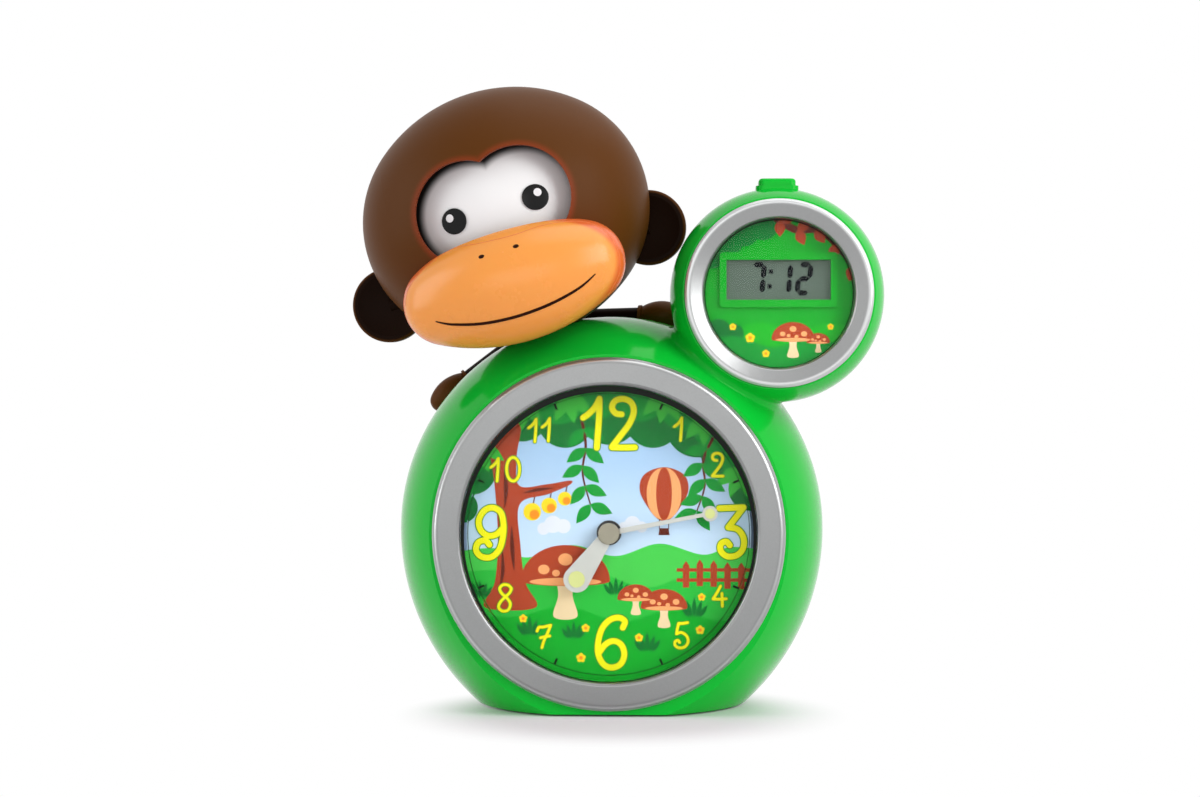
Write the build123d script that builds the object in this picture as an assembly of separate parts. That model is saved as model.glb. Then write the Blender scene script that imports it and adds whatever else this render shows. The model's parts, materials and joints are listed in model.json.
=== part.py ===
"""Kids alarm clock with night light, as an assembly of separate pieces.

Millimetres. +X is the viewer's right, -Y faces the viewer, +Z is up.
The origin is on the table, under the centre of the ball-shaped casing.
"""
from build123d import *
from math import atan2, cos, radians, sin, sqrt
import os

# ---------------------------------------------------------------- casing
BALL_R = 70.0              # upper half of the ball
BELLY_R = 77.0             # rounder arc of the lower half, tangent at the equator
BEZEL_R = 55.8             # the dial's bezel, which nearly reaches the table
BEZEL_CLEAR = 1.8          # lowest point of the bezel above the table
FOOT_Z = 0.6               # underside of the casing above the table
WALL = 2.4                 # casing wall
REAR_FLAT_R = 52.8         # radius of the flat back, where it cuts the upper half
REAR_WALL = 2.4

POD_R = 34.5
POD_SINK = 8.7             # how far the pod's ball is sunk into the main ball
POD_LEAN = 35.3            # degrees from straight up, towards +X
POD_FORWARD = 13.3         # degrees towards the viewer
NECK_FILLET = 2.0

# ---------------------------------------------------------------- clearances and shared shape
FIT = 0.1                  # clearance of pieces that sit in a recess
PARTING = 0.3              # clearance of pieces that face each other
RUNNING = 0.05             # radial clearance of a shaft in its hole
END_PLAY = 0.2
OVAL_SHARE = 0.38          # how blunt an oval's end arc is, 0 is the tightest
SPLIT_R = 200.0            # half size of the blocks that split shells

# ---------------------------------------------------------------- main dial
BEZEL_W = 8.9              # width of the bezel's ring
BEZEL_DEPTH = 4.0          # bezel thickness
BEZEL_PROUD = 2.0          # how far it stands out of the casing's flat front
BEZEL_EDGE = 1.2
FACE_RIM = 0.9             # green rim left round the bezel's recess
LEDGE = 2.0                # ledge behind the bezel
WELL_STEP = 2.1            # the dial well is this much wider than the bezel's hole
WELL_DEPTH = 7.6           # from the ledge to the well's floor
WELL_WALL = 2.0
LENS_T = 1.8
LENS_INSET = 1.6           # lens front behind the bezel's front
LENS_LUGS = 8
LUG_WIDTH = 5.0
LUG_T = 1.2
DIAL_T = 0.8

NOSE_R = 3.0               # threaded nose of the movement
NOSE_LENGTH = 4.3
NUT_R = 3.95
NUT_T = 1.5

MINUTE_HAND_LENGTH = 32.7  # hub to the middle of the tip disc
MINUTE_TIP_R = 2.45
MINUTE_LUME_R = 1.6
MINUTE_HUB_R = 3.0
MINUTE_ANGLE = 79.0        # clockwise from twelve, at rest
HOUR_HAND_LENGTH = 17.8
HOUR_TIP_R = 4.2
HOUR_LUME_R = 2.6
HOUR_HUB_R = 3.3
HOUR_ANGLE = 215.0
HAND_T = 0.6
HAND_GAP = 0.8             # air between the two hands
HAND_CLEAR = 1.3           # air between the nut and the minute hand
HUB_CAP_T = 1.0
LUME_T = 0.25

# ---------------------------------------------------------------- movement
MOVEMENT_W = 46.0
MOVEMENT_DEPTH = 13.0
MOVEMENT_WALL = 1.2
GEAR_MODULE = 0.5
CANNON_TEETH = 10          # on the minute pipe, drives the intermediate wheel
MINUTE_TEETH = 30          # on the minute pipe, driven by the drive pinion
INTERMEDIATE_TEETH = 30
INTERMEDIATE_PINION = 8
HOUR_TEETH = 32
DRIVE_TEETH = 12
PIPE_R = 1.8
HOUR_ARBOR_R = 1.0
ARBOR_R = 0.8
GEAR_W = 1.0
UNIT_LEFT = 10.0           # stepper unit's reach to each side of the arbor
UNIT_RIGHT = 16.0
COIL_R = 5.2
COIL_OUT = 14.8            # coil's place beside the stepper unit
KNOB_R = 6.5
KNOB_LENGTH = 6.0
KNOB_RECESS = 3.0
STEM_R = 1.5

# ---------------------------------------------------------------- back
AA_R = 7.1
AA_LENGTH = 49.0
AA_NUB_R = 2.7
AA_NUB = 1.2
AA_COUNT = 3
AA_PITCH = 14.8
AA_DROP = 44.2             # lowest point of the lowest cell below the ball's centre
SPRING_GAP = 2.4
CONTACT_T = 0.5
BAY_WALL = 1.6
BAY_COVER_T = 1.6
BAY_LIP = 1.8
BAY_CORNER = 5.0
COVER_SCREW_OUT = 3.4      # cover screw beside the cells' room
COVER_POST_R = 3.0
COVER_TAB_R = 4.2          # round tab of the cover, under its screw
COVER_TRAVEL = 30.0        # how far the lifted-off cover moves
SPEAKER_R = 14.0
SPEAKER_X = -27.0
SPEAKER_UP = 22.4          # above the ball's centre, as the next heights
SPEAKER_T = 7.0
GRILLE_HOLE_R = 1.1
GRILLE_PITCH = 4.0
BUTTON_R = 3.5
BUTTON_XS = (14.0, 25.0, 36.0)
BUTTON_UP = 28.4
BUTTON_PROUD = 2.0
BUTTON_TRAVEL = 1.0
SWITCH_XS = (18.0, 34.0)
SWITCH_UP = 14.4
SWITCH_TRAVEL = 4.0
LEVER_W = 3.0
LEVER_H = 3.6
BOARD_T = 1.6
BOARD_BACK = 5.0           # rear panel's inside to the board's back face
LOW_SCREWS = (40.5, -19.6) # out to each side and up from the ball's centre
HIGH_SCREWS = (14.0, 42.9)
SCREW_R = 1.4
SCREW_HEAD_R = 2.8
SCREW_HEAD_T = 2.0
SCREW_LENGTH = 14.0
SCREW_SEAT = 6.0           # depth of the casing screws' heads behind the split
BOSS_R = 3.6
PAD_R = 35.0
PAD_T = 1.6

# ---------------------------------------------------------------- pod
POD_BORDER = 4.6           # green border seen round the pod's bezel
POD_BEZEL_W = 6.2
POD_BEZEL_DEPTH = 3.1
POD_BEZEL_PROUD = 1.6
POD_RIM = 0.5
POD_LENS_T = 1.2
POD_WELL_STEP = 2.5
POD_WELL_WALL = 1.6
POD_LENS_GAP = 1.6         # lens back to face plate
POD_PLATE_T = 0.8
DISPLAY_SIDE = 9.65        # from the display's view to the well's side
DISPLAY_H = 12.7
DISPLAY_UP = 4.4           # display centre above the pod's centre
FRAME_SIDE = 2.15          # width of the raised frame at the display's ends
FRAME_EDGE = 2.4           # and above and below it
FRAME_T = 1.1
GLASS_T = 2.2
SNOOZE_W = 11.9
SNOOZE_D = 9.0
SNOOZE_PROUD = 3.0
SNOOZE_TRAVEL = 1.5
SNOOZE_COLLAR = 0.6
SNOOZE_CLEAR = 0.3
SNOOZE_FLANGE_T = 1.0
SNOOZE_STEM_R = 1.2
SNOOZE_SPRING_R = 2.6
SNOOZE_WIRE_R = 0.25
SNOOZE_SWITCH_W = 7.0
SNOOZE_SWITCH_H = 6.0

# ---------------------------------------------------------------- head
HEAD_LONG = 47.6           # half width along the eye axle
HEAD_R = 41.7              # radius round the eye axle
HEAD_SINK = 2.65
HEAD_LEAN = 18.5           # degrees from straight up, towards -X
HEAD_FORWARD = 5.3
HEAD_TILT = 16.3           # degrees, the viewer's right ear higher
HEAD_YAW = 4.0             # degrees, looking to the viewer's left
HEAD_WALL = 2.2
HEAD_SPLIT = 4.0           # parting plane behind the head's centre
MUZZLE_LONG = 36.2
MUZZLE_R = 18.9
MUZZLE_FORWARD = 31.0
MUZZLE_DOWN = 24.0
MUZZLE_WALL = 2.0
EAR_R = 12.4
EAR_T = 6.0
LEFT_EAR_OUT = 46.9
RIGHT_EAR_OUT = 43.5
EAR_DOWN = 16.7
EAR_BACK = 8.0
EAR_DISH_R = 10.4
EAR_DISH_DEPTH = 1.6
EAR_PEG_R = 2.5
EAR_PEG = 6.0
WINDOW_LOBE_R = 16.4
WINDOW_LOBE_X = 8.7
WINDOW_LOBE_Z = 1.0
WINDOW_SHIFT = 0.9         # window and pupils lie a little to the viewer's right

BEARING_X = 39.6           # start of each axle bearing, from the head's middle
BEARING_R = 3.6
BEARING_END = 43.4         # blind end of its bore
ROLLER_SINK = 6.2          # eye shell behind the head's surface
ROLLER_WALL = 1.6
ROLLER_HALF = 31.0         # half width of the roller
EYE_LOW = -28.0            # degrees round the axle, 0 in front, 90 on top
EYE_HIGH = 40.0
EYE_CLOSE = 68.0           # travel that brings the lid in front
PUPIL_R = 4.1
PUPIL_X = 13.4
PUPIL_Z = -0.2
PUPIL_T = 0.4
AXLE_R = 1.5
HUB_R = 3.4
RIB_T = 2.0
EYE_MODULE = 0.5
EYE_GEAR_TEETH = 40
EYE_PINION_TEETH = 10
EYE_GEAR_W = 3.0
MOTOR_R = 6.0
MOTOR_LENGTH = 18.0
BRACKET_T = 1.6
BRACKET_HALF_Z = 12.0
BRACKET_XS = (-22.0, 30.0)
LAMP_BOARD_HALF = 9.0
LAMP_R = 2.5

# ---------------------------------------------------------------- body
TORSO_LONG = 21.0
TORSO_R = 17.0
TORSO_LEAN = 19.0          # degrees from straight up, towards -X
TORSO_BACK = 28.4          # degrees towards the back
TORSO_WALL = 2.0
COLLAR_R = 7.0
COLLAR_WALL = 1.6
ARM_R = 3.2
HAND_R = 5.2
HAND_LONG = 8.6
LEFT_HAND_WAY = (-51.0, -18.9)            # degrees of lean and forward, on the ball
RIGHT_HAND_WAY = (13.0, -15.3)
CUFF_R = 4.0
CUFF_T = 1.0

# ---------------------------------------------------------------- shared places
BALL_Z = BEZEL_R + BEZEL_CLEAR            # height of the ball's centre above the table
BEZEL_HOLE_R = BEZEL_R - BEZEL_W
WELL_R = BEZEL_HOLE_R + WELL_STEP
POD_BEZEL_R = POD_R - POD_BORDER
POD_BEZEL_HOLE_R = POD_BEZEL_R - POD_BEZEL_W
POD_WELL_R = POD_BEZEL_HOLE_R + POD_WELL_STEP
DISPLAY_W = 2 * (POD_WELL_R - DISPLAY_SIDE)
FRAME_W = DISPLAY_W + 2 * FRAME_SIDE
FRAME_H = DISPLAY_H + 2 * FRAME_EDGE
SPEAKER_Z = BALL_Z + SPEAKER_UP
BUTTON_Z = BALL_Z + BUTTON_UP
SWITCH_Z = BALL_Z + SWITCH_UP
AA_BOTTOM = BALL_Z - AA_DROP
SCREW_SPOTS = [(side * x, BALL_Z + up) for x, up in (LOW_SCREWS, HIGH_SCREWS) for side in (-1, 1)]
BALL = Vector(0, 0, BALL_Z)
UP = Vector(0, 0, 1)


def towards(lean, forward):
    """Unit vector leaning from +Z towards +X, and forward towards -Y."""
    flat = cos(radians(forward))
    return Vector(sin(radians(lean)) * flat, -sin(radians(forward)), cos(radians(lean)) * flat)


FRONT_Y = -sqrt(BALL_R**2 - (BEZEL_R + FIT + FACE_RIM) ** 2)
REAR_Y = sqrt(BALL_R**2 - REAR_FLAT_R**2)
POD = BALL + towards(POD_LEAN, POD_FORWARD) * (BALL_R + POD_R - POD_SINK)
POD_FACE_Y = POD.Y - sqrt(POD_R**2 - (POD_BEZEL_R + FIT + POD_RIM) ** 2)
HEAD = BALL + towards(-HEAD_LEAN, HEAD_FORWARD) * (BALL_R + HEAD_R - HEAD_SINK)
IN_HEAD = Pos(HEAD.X, HEAD.Y, HEAD.Z) * Rot(0, -HEAD_TILT, 0) * Rot(0, 0, -HEAD_YAW)

BEZEL_FACE_Y = FRONT_Y - BEZEL_PROUD
LEDGE_Y = BEZEL_FACE_Y + BEZEL_DEPTH
FLOOR_Y = LEDGE_Y + WELL_DEPTH            # front of the dial well's floor
DIAL_Y = FLOOR_Y - DIAL_T                 # printed side of the dial
MOVEMENT_Y = FLOOR_Y + WELL_WALL          # front of the movement's case
MOVEMENT_BACK_Y = MOVEMENT_Y + MOVEMENT_DEPTH
NUT_FRONT_Y = DIAL_Y - NUT_T
MINUTE_HAND_Y = NUT_FRONT_Y - HAND_CLEAR  # back of the minute hand
HOUR_HAND_Y = MINUTE_HAND_Y - HAND_T - HAND_GAP
HUB_FRONT_Y = HOUR_HAND_Y - HAND_T - HUB_CAP_T

CASE_IN_Y = MOVEMENT_Y + MOVEMENT_WALL                # inside of the movement's front
CASE_OUT_Y = MOVEMENT_BACK_Y - MOVEMENT_WALL          # inside of its rear plate
MINUTE_WHEEL_Y = CASE_IN_Y + 0.4
CANNON_Y = MINUTE_WHEEL_Y + GEAR_W
INTERMEDIATE_Y = CANNON_Y + 0.5
PIPE_END_Y = CANNON_Y + GEAR_W + 1.0
HOUR_WHEEL_Y = PIPE_END_Y + 1.0
UNIT_Y = MINUTE_WHEEL_Y + GEAR_W + 1.0                # front of the sealed stepper unit
INTERMEDIATE_Z = BALL_Z + GEAR_MODULE * (CANNON_TEETH + INTERMEDIATE_TEETH) / 2
DRIVE_Z = BALL_Z - GEAR_MODULE * (MINUTE_TEETH + DRIVE_TEETH) / 2

PANEL_Y = REAR_Y - REAR_WALL              # inside of the rear panel
BAY_COVER_Y = REAR_Y - BAY_COVER_T
AA_Y = BAY_COVER_Y - PARTING - AA_R
BAY_FLOOR_Y = AA_Y - AA_R - 0.2
BAY_HALF = (AA_LENGTH + AA_NUB + SPRING_GAP) / 2 + CONTACT_T
BAY_LOW = AA_BOTTOM - 0.6
BAY_HIGH = AA_BOTTOM + 2 * AA_R + (AA_COUNT - 1) * AA_PITCH + 0.6
AA_ZS = [AA_BOTTOM + AA_R + i * AA_PITCH for i in range(AA_COUNT)]
BOARD_Y = PANEL_Y - BOARD_BACK            # back face of the control board
COVER_SCREW_X = BAY_HALF + COVER_SCREW_OUT
COVER_SCREW_Z = (BAY_LOW + BAY_HIGH) / 2
BOARD_LOW_X = BUTTON_XS[0] - BUTTON_R - 2.5
BOARD_HIGH_X = BUTTON_XS[-1] + BUTTON_R + 2.0
BOARD_LOW_Z = SWITCH_Z - 6.0
BOARD_HIGH_Z = BUTTON_Z + BUTTON_R + 2.0

POD_LEDGE_Y = POD_FACE_Y - POD_BEZEL_PROUD + POD_BEZEL_DEPTH
POD_LENS_Y = POD_LEDGE_Y + FIT                      # front of the pod's lens
POD_PLATE_Y = POD_LENS_Y + POD_LENS_T + POD_LENS_GAP
POD_GLASS_Y = POD_PLATE_Y + POD_PLATE_T
POD_BOARD_Y = POD_GLASS_Y + GLASS_T
POD_WELL_BACK_Y = POD_BOARD_Y + BOARD_T
POD_STEP_R = POD_WELL_R - POD_WELL_WALL

SNOOZE_TOP = POD.Z + POD_R + SNOOZE_PROUD
SNOOZE_STOP = POD.Z + sqrt((POD_R - WALL) ** 2 - (SNOOZE_W / 2 + 1.5) ** 2 - (SNOOZE_D / 2 + 1.5) ** 2) - 0.4
SNOOZE_FLANGE_Z = SNOOZE_STOP - 0.2 - SNOOZE_FLANGE_T
SNOOZE_STEM_Z = SNOOZE_FLANGE_Z - 5.6
SNOOZE_SWITCH_Z = SNOOZE_STEM_Z - SNOOZE_TRAVEL - 1.1

ROLLER_R = HEAD_R - ROLLER_SINK
ROLLER_LONG = HEAD_LONG - ROLLER_SINK - 1.0
BRACKET_Y = EYE_MODULE * (EYE_GEAR_TEETH + EYE_PINION_TEETH) / 2 + MOTOR_R
MOTOR_Y = BRACKET_Y - MOTOR_R
MOTOR_END_X = ROLLER_HALF - 1.0
GEAR_X = ROLLER_HALF + 1.0

TORSO = BALL + towards(-TORSO_LEAN, -TORSO_BACK) * BALL_R
TORSO_ALONG = (HEAD - TORSO) - (TORSO - BALL).normalized() * (HEAD - TORSO).dot((TORSO - BALL).normalized())
TORSO_FRAME = Plane(origin=TORSO, x_dir=TORSO_ALONG, z_dir=TORSO - BALL)
LEFT_HAND = BALL + towards(*LEFT_HAND_WAY) * (BALL_R + HAND_R + PARTING)
RIGHT_HAND = BALL + towards(*RIGHT_HAND_WAY) * (BALL_R + HAND_R + PARTING)
LEFT_SHOULDER = TORSO + Vector(-0.75 * TORSO_R, -6.0, 0.25 * TORSO_R)
RIGHT_SHOULDER = TORSO + Vector(0.75 * TORSO_R, -8.5, 0.72 * TORSO_R)


# ---------------------------------------------------------------- helpers
def rod_y(radius, y_from, y_to, x=0.0, z=BALL_Z):
    """Round bar along Y."""
    return Pos(x, (y_from + y_to) / 2, z) * Rot(90, 0, 0) * Cylinder(radius, abs(y_to - y_from))


def ring_y(outer, inner, y_from, y_to, x=0.0, z=BALL_Z):
    """Round tube along Y."""
    return rod_y(outer, y_from, y_to, x, z) - rod_y(inner, y_from, y_to, x, z)


def rod_x(radius, x_from, x_to, y=0.0, z=0.0):
    """Round bar along X."""
    return Pos((x_from + x_to) / 2, y, z) * Rot(0, 90, 0) * Cylinder(radius, abs(x_to - x_from))


def rod_z(radius, z_from, z_to, x=0.0, y=0.0):
    """Round bar along Z."""
    return Pos(x, y, (z_from + z_to) / 2) * Cylinder(radius, abs(z_to - z_from))


def block(x_from, x_to, y_from, y_to, z_from, z_to):
    """Box between six planes."""
    middle = Pos((x_from + x_to) / 2, (y_from + y_to) / 2, (z_from + z_to) / 2)
    return middle * Box(abs(x_to - x_from), abs(y_to - y_from), abs(z_to - z_from))


def plate_y(width, height, corner, y_from, y_to, x=0.0, z=BALL_Z):
    """Rounded rectangle across X and Z, between two planes of Y."""
    outline = RectangleRounded(width, height, corner)
    return Pos(x, y_to, z) * Rot(90, 0, 0) * extrude(outline, y_to - y_from)


def oval_half(long, radius):
    """Upper half of an egg-like oval of three tangent arcs, long across X."""
    tight = radius**2 / long
    end_r = tight + OVAL_SHARE * (radius - tight)
    end_x = long - end_r
    top_r = (end_x**2 + radius**2 - end_r**2) / (2 * (radius - end_r))
    slope = atan2(top_r - radius, end_x)
    joint = (end_x + end_r * cos(slope), end_r * sin(slope))
    between = (end_x + end_r * cos(slope / 2), end_r * sin(slope / 2))
    return make_face(
        [
            Line((-long, 0), (long, 0)),
            ThreePointArc((long, 0), between, joint),
            ThreePointArc(joint, (0, radius), (-joint[0], joint[1])),
            ThreePointArc((-joint[0], joint[1]), (-between[0], between[1]), (-long, 0)),
        ]
    )


def spheroid(long, radius):
    """Egg-like solid turned about its long axis, X."""
    return revolve(oval_half(long, radius), Axis.X)


def spheroid_shell(long, radius, wall):
    """Hollow spheroid with its long axis along X."""
    return revolve(oval_half(long, radius) - oval_half(long - wall, radius - wall), Axis.X)


def spheroid_reach(long, radius, x, z):
    """Distance from the long axis' plane to the spheroid's surface, at x and z."""
    return sqrt(radius**2 * (1 - (x / long) ** 2) - z**2)


def limb(start, end, radius):
    """Round-ended bar between two points."""
    along = end - start
    bar = Plane(origin=start, z_dir=along) * Pos(0, 0, along.length / 2) * Cylinder(radius, along.length)
    ends = [Pos(point.X, point.Y, point.Z) * Sphere(radius) for point in (start, end)]
    return bar + ends[0] + ends[1]


def gear(teeth, module, width, bore, phase=0.0):
    """Spur gear about Z from z = 0 to width; phase is the angle of one tooth's middle."""
    pitch_r = module * teeth / 2
    step = 360 / teeth
    corners = []
    for tooth in range(teeth):
        middle = phase + tooth * step
        for radius, share in (
            (pitch_r - 1.2 * module, -0.29),
            (pitch_r, -0.21),
            (pitch_r + 0.85 * module, -0.11),
            (pitch_r + 0.85 * module, 0.11),
            (pitch_r, 0.21),
            (pitch_r - 1.2 * module, 0.29),
        ):
            angle = radians(middle + share * step)
            corners.append((radius * cos(angle), radius * sin(angle)))
    wheel = extrude(Polygon(*corners, align=None), width)
    if bore:
        wheel -= rod_z(bore, -1, width + 1)
    return wheel


def gear_y(teeth, y_from, width, bore, phase, x=0.0, z=BALL_Z):
    """Movement gear about Y; phase is measured from +X towards +Z."""
    return Pos(x, y_from + width, z) * Rot(90, 0, 0) * gear(teeth, GEAR_MODULE, width, bore, phase)


def coil(radius, wire, height, turns):
    """Helical spring standing on z = 0, measured to its wire's centre line."""
    path = Helix(pitch=height / turns, height=height, radius=radius)
    section = Plane(origin=path @ 0, z_dir=path % 0) * Circle(wire)
    return sweep(section, path=path, is_frenet=True)


def ball_solid(offset=0.0, floor=FOOT_Z):
    """The ball casing's outer form, shrunk by offset and cut off at a floor."""
    top_r = BALL_R - offset
    belly_r = BELLY_R - offset
    centre_x = BALL_R - BELLY_R
    drop = BALL_Z - floor
    foot_x = centre_x + sqrt(belly_r**2 - drop**2)
    half_angle = atan2(drop, foot_x - centre_x) / 2
    belly_middle = (centre_x + belly_r * cos(half_angle), BALL_Z - belly_r * sin(half_angle))
    outline = Plane.XZ * make_face(
        [
            Line((0, floor), (foot_x, floor)),
            ThreePointArc((foot_x, floor), belly_middle, (top_r, BALL_Z)),
            Line((top_r, BALL_Z), (0, BALL_Z)),
            Line((0, BALL_Z), (0, floor)),
        ]
    )
    dome = Pos(0, 0, BALL_Z) * Sphere(top_r) & block(-top_r, top_r, -top_r, top_r, BALL_Z, BALL_Z + top_r)
    return Rot(0, 0, 180) * (revolve(outline, Axis.Z) + dome)


def at(point):
    """Placement at a point."""
    return Pos(point.X, point.Y, point.Z)


# ---------------------------------------------------------------- casings
def casing_outside():
    """Ball and pod as one rounded solid, with both flat fronts and the flat back."""
    both = ball_solid() + at(POD) * Sphere(POD_R)
    joint = BALL + towards(POD_LEAN, POD_FORWARD) * (BALL_R - POD_SINK / 2)
    seam = both.edges().filter_by(GeomType.CIRCLE).sort_by(lambda edge: (edge.arc_center - joint).length)[0]
    both = fillet(seam, NECK_FILLET)
    both -= block(-BALL_R, BALL_R, FRONT_Y - BALL_R, FRONT_Y, 0, BALL_Z + BALL_R - POD_R)
    both -= rod_y(BEZEL_R + FIT + FACE_RIM + 0.3, FRONT_Y - BALL_R, FRONT_Y)
    both -= block(-BALL_R, BALL_R, REAR_Y, REAR_Y + BALL_R, 0, BALL_Z + BALL_R)
    pod_face_r = POD_BEZEL_R + FIT + POD_RIM
    both -= rod_y(pod_face_r + 0.4, POD_FACE_Y - POD_R, POD_FACE_Y, POD.X, POD.Z)
    return both


def casing_inside():
    """Hollow of the ball and pod, before wells and bosses are added back."""
    hollow = ball_solid(WALL, FOOT_Z + WALL)
    hollow &= block(-BALL_R, BALL_R, LEDGE_Y + LEDGE, PANEL_Y, 0, BALL_Z + BALL_R)
    pod_hollow = at(POD) * Sphere(POD_R - WALL)
    pod_hollow &= block(
        POD.X - POD_R, POD.X + POD_R, POD_LEDGE_Y + POD_WELL_WALL, POD.Y + POD_R, POD.Z - POD_R, POD.Z + POD_R
    )
    return hollow + pod_hollow


def battery_bay_walls():
    """Box moulded inside the rear casing round the three cells."""
    half = BAY_HALF + BAY_WALL
    return block(-half, half, BAY_FLOOR_Y - BAY_WALL, REAR_Y, BAY_LOW - BAY_WALL, BAY_HIGH + BAY_WALL)


def battery_bay_room():
    """The cells' room, open to the back, with the cover's recess round its mouth."""
    room = block(-BAY_HALF, BAY_HALF, BAY_FLOOR_Y, REAR_Y + 1, BAY_LOW, BAY_HIGH)
    lip = plate_y(
        2 * (BAY_HALF + BAY_LIP), BAY_HIGH - BAY_LOW + 2 * BAY_LIP, BAY_CORNER,
        BAY_COVER_Y, REAR_Y + 1, z=(BAY_LOW + BAY_HIGH) / 2,
    )
    tab = rod_y(COVER_TAB_R + FIT, BAY_COVER_Y, REAR_Y + 1, COVER_SCREW_X, COVER_SCREW_Z)
    return room + lip + tab


def front_casing():
    shell = casing_outside() & block(-SPLIT_R, SPLIT_R, -SPLIT_R, 0, 0, SPLIT_R * 2)
    shell -= casing_inside()
    shell -= rod_y(BEZEL_R + FIT, FRONT_Y - 5, LEDGE_Y)
    shell -= rod_y(WELL_R, LEDGE_Y - 1, LEDGE_Y + LEDGE + 1)
    shell += ring_y(WELL_R + WELL_WALL, WELL_R, LEDGE_Y, FLOOR_Y + WELL_WALL)
    shell += ring_y(WELL_R + WELL_WALL, NOSE_R + FIT, FLOOR_Y, FLOOR_Y + WELL_WALL)
    for x, z in SCREW_SPOTS:
        shell += ring_y(BOSS_R, SCREW_R + FIT / 2, FLOOR_Y + WELL_WALL, 0, x, z)
    shell -= rod_y(POD_BEZEL_R + FIT, POD_FACE_Y - 5, POD_LEDGE_Y, POD.X, POD.Z)
    shell -= rod_y(POD_WELL_R, POD_LEDGE_Y - 1, POD_LEDGE_Y + POD_WELL_WALL + 1, POD.X, POD.Z)
    tube_back = POD_WELL_BACK_Y + 0.8
    shell += ring_y(POD_WELL_R + POD_WELL_WALL, POD_WELL_R, POD_LEDGE_Y, tube_back, POD.X, POD.Z)
    shell += ring_y(POD_WELL_R, POD_STEP_R, POD_GLASS_Y, POD_BOARD_Y, POD.X, POD.Z)
    shell += snooze_guide()
    shell -= snooze_slot()
    shell -= rod_z(PAD_R + FIT, 0, PAD_T)
    return shell


def snooze_guide():
    """Pad under the pod's roof and low collar above it, round the snooze button."""
    guide = block(
        POD.X - SNOOZE_W / 2 - 2.5, POD.X + SNOOZE_W / 2 + 2.5,
        POD.Y - SNOOZE_D / 2 - 2.5, POD.Y + SNOOZE_D / 2 + 2.5, SNOOZE_STOP, POD.Z + POD_R,
    )
    guide &= at(POD) * Sphere(POD_R - WALL / 2)
    collar = RectangleRounded(SNOOZE_W + 1.8, SNOOZE_D + 1.8, 2.6)
    collar = Pos(POD.X, POD.Y, POD.Z + POD_R - 2) * extrude(collar, 2 + SNOOZE_COLLAR)
    return guide + (collar - at(POD) * Sphere(POD_R - WALL / 2))


def snooze_slot():
    """Rounded slot that the snooze button slides in."""
    hole = RectangleRounded(SNOOZE_W + 2 * SNOOZE_CLEAR, SNOOZE_D + 2 * SNOOZE_CLEAR, 2.2)
    return Pos(POD.X, POD.Y, SNOOZE_STOP - 1) * extrude(hole, POD_R)


def rear_casing():
    shell = casing_outside() & block(-SPLIT_R, SPLIT_R, 0, SPLIT_R, 0, SPLIT_R * 2)
    shell -= casing_inside()
    inner = ball_solid(WALL / 2, FOOT_Z + WALL / 2)
    inner &= block(-BALL_R, BALL_R, 0, REAR_Y - REAR_WALL / 2, 0, SPLIT_R)
    shell += battery_bay_walls() & inner
    for x, z in SCREW_SPOTS:
        shell += rod_y(BOSS_R + 1, 0, PANEL_Y + 0.5, x, z) & inner
    for x, z in board_posts():
        shell += rod_y(2.2, BOARD_Y, PANEL_Y + 0.5, x, z)
    shell += ring_y(SPEAKER_R + 2.0, SPEAKER_R + 0.5, PANEL_Y - 3, PANEL_Y + 0.5, SPEAKER_X, SPEAKER_Z)
    shell += rod_y(KNOB_R + 1.6, REAR_Y - KNOB_RECESS - REAR_WALL, PANEL_Y + 0.5, 0, INTERMEDIATE_Z)
    shell -= rod_y(KNOB_R + 0.5, REAR_Y - KNOB_RECESS, REAR_Y + 1, 0, INTERMEDIATE_Z)
    shell -= rod_y(STEM_R + 0.4, 0, REAR_Y, 0, INTERMEDIATE_Z)
    shell -= battery_bay_room()
    post = rod_y(COVER_POST_R, BAY_COVER_Y - 8, BAY_COVER_Y, COVER_SCREW_X, COVER_SCREW_Z)
    shell += post - battery_bay_room()
    shell -= rod_y(SCREW_R + FIT / 2, BAY_COVER_Y - 7, REAR_Y + 1, COVER_SCREW_X, COVER_SCREW_Z)
    for x, z in SCREW_SPOTS:
        shell -= rod_y(SCREW_HEAD_R + 0.3, SCREW_SEAT, REAR_Y + 1, x, z)
        shell -= rod_y(SCREW_R + FIT, -1, SCREW_SEAT + 1, x, z)
    for x, z in grille_holes():
        shell -= rod_y(GRILLE_HOLE_R, PANEL_Y - 1, REAR_Y + 1, x, z)
    for x in BUTTON_XS:
        shell -= rod_y(BUTTON_R + 0.3, PANEL_Y - 1, REAR_Y + 1, x, BUTTON_Z)
    for x in SWITCH_XS:
        shell -= block(
            x - LEVER_W / 2 - 0.3, x + SWITCH_TRAVEL + LEVER_W / 2 + 0.3, PANEL_Y - 1, REAR_Y + 1,
            SWITCH_Z - LEVER_H / 2 - 0.3, SWITCH_Z + LEVER_H / 2 + 0.3,
        )
    shell -= rod_z(PAD_R + FIT, 0, PAD_T)
    return shell


def grille_holes():
    """Hexagonal pattern of round holes over the loudspeaker."""
    spots = []
    rows = int((SPEAKER_R - 2) / (GRILLE_PITCH * 0.866))
    for row in range(-rows, rows + 1):
        shift = GRILLE_PITCH / 2 if row % 2 else 0
        for column in range(-rows - 1, rows + 2):
            x = column * GRILLE_PITCH + shift
            z = row * GRILLE_PITCH * 0.866
            if sqrt(x * x + z * z) + GRILLE_HOLE_R < SPEAKER_R - 1.5:
                spots.append((SPEAKER_X + x, SPEAKER_Z + z))
    return spots


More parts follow.
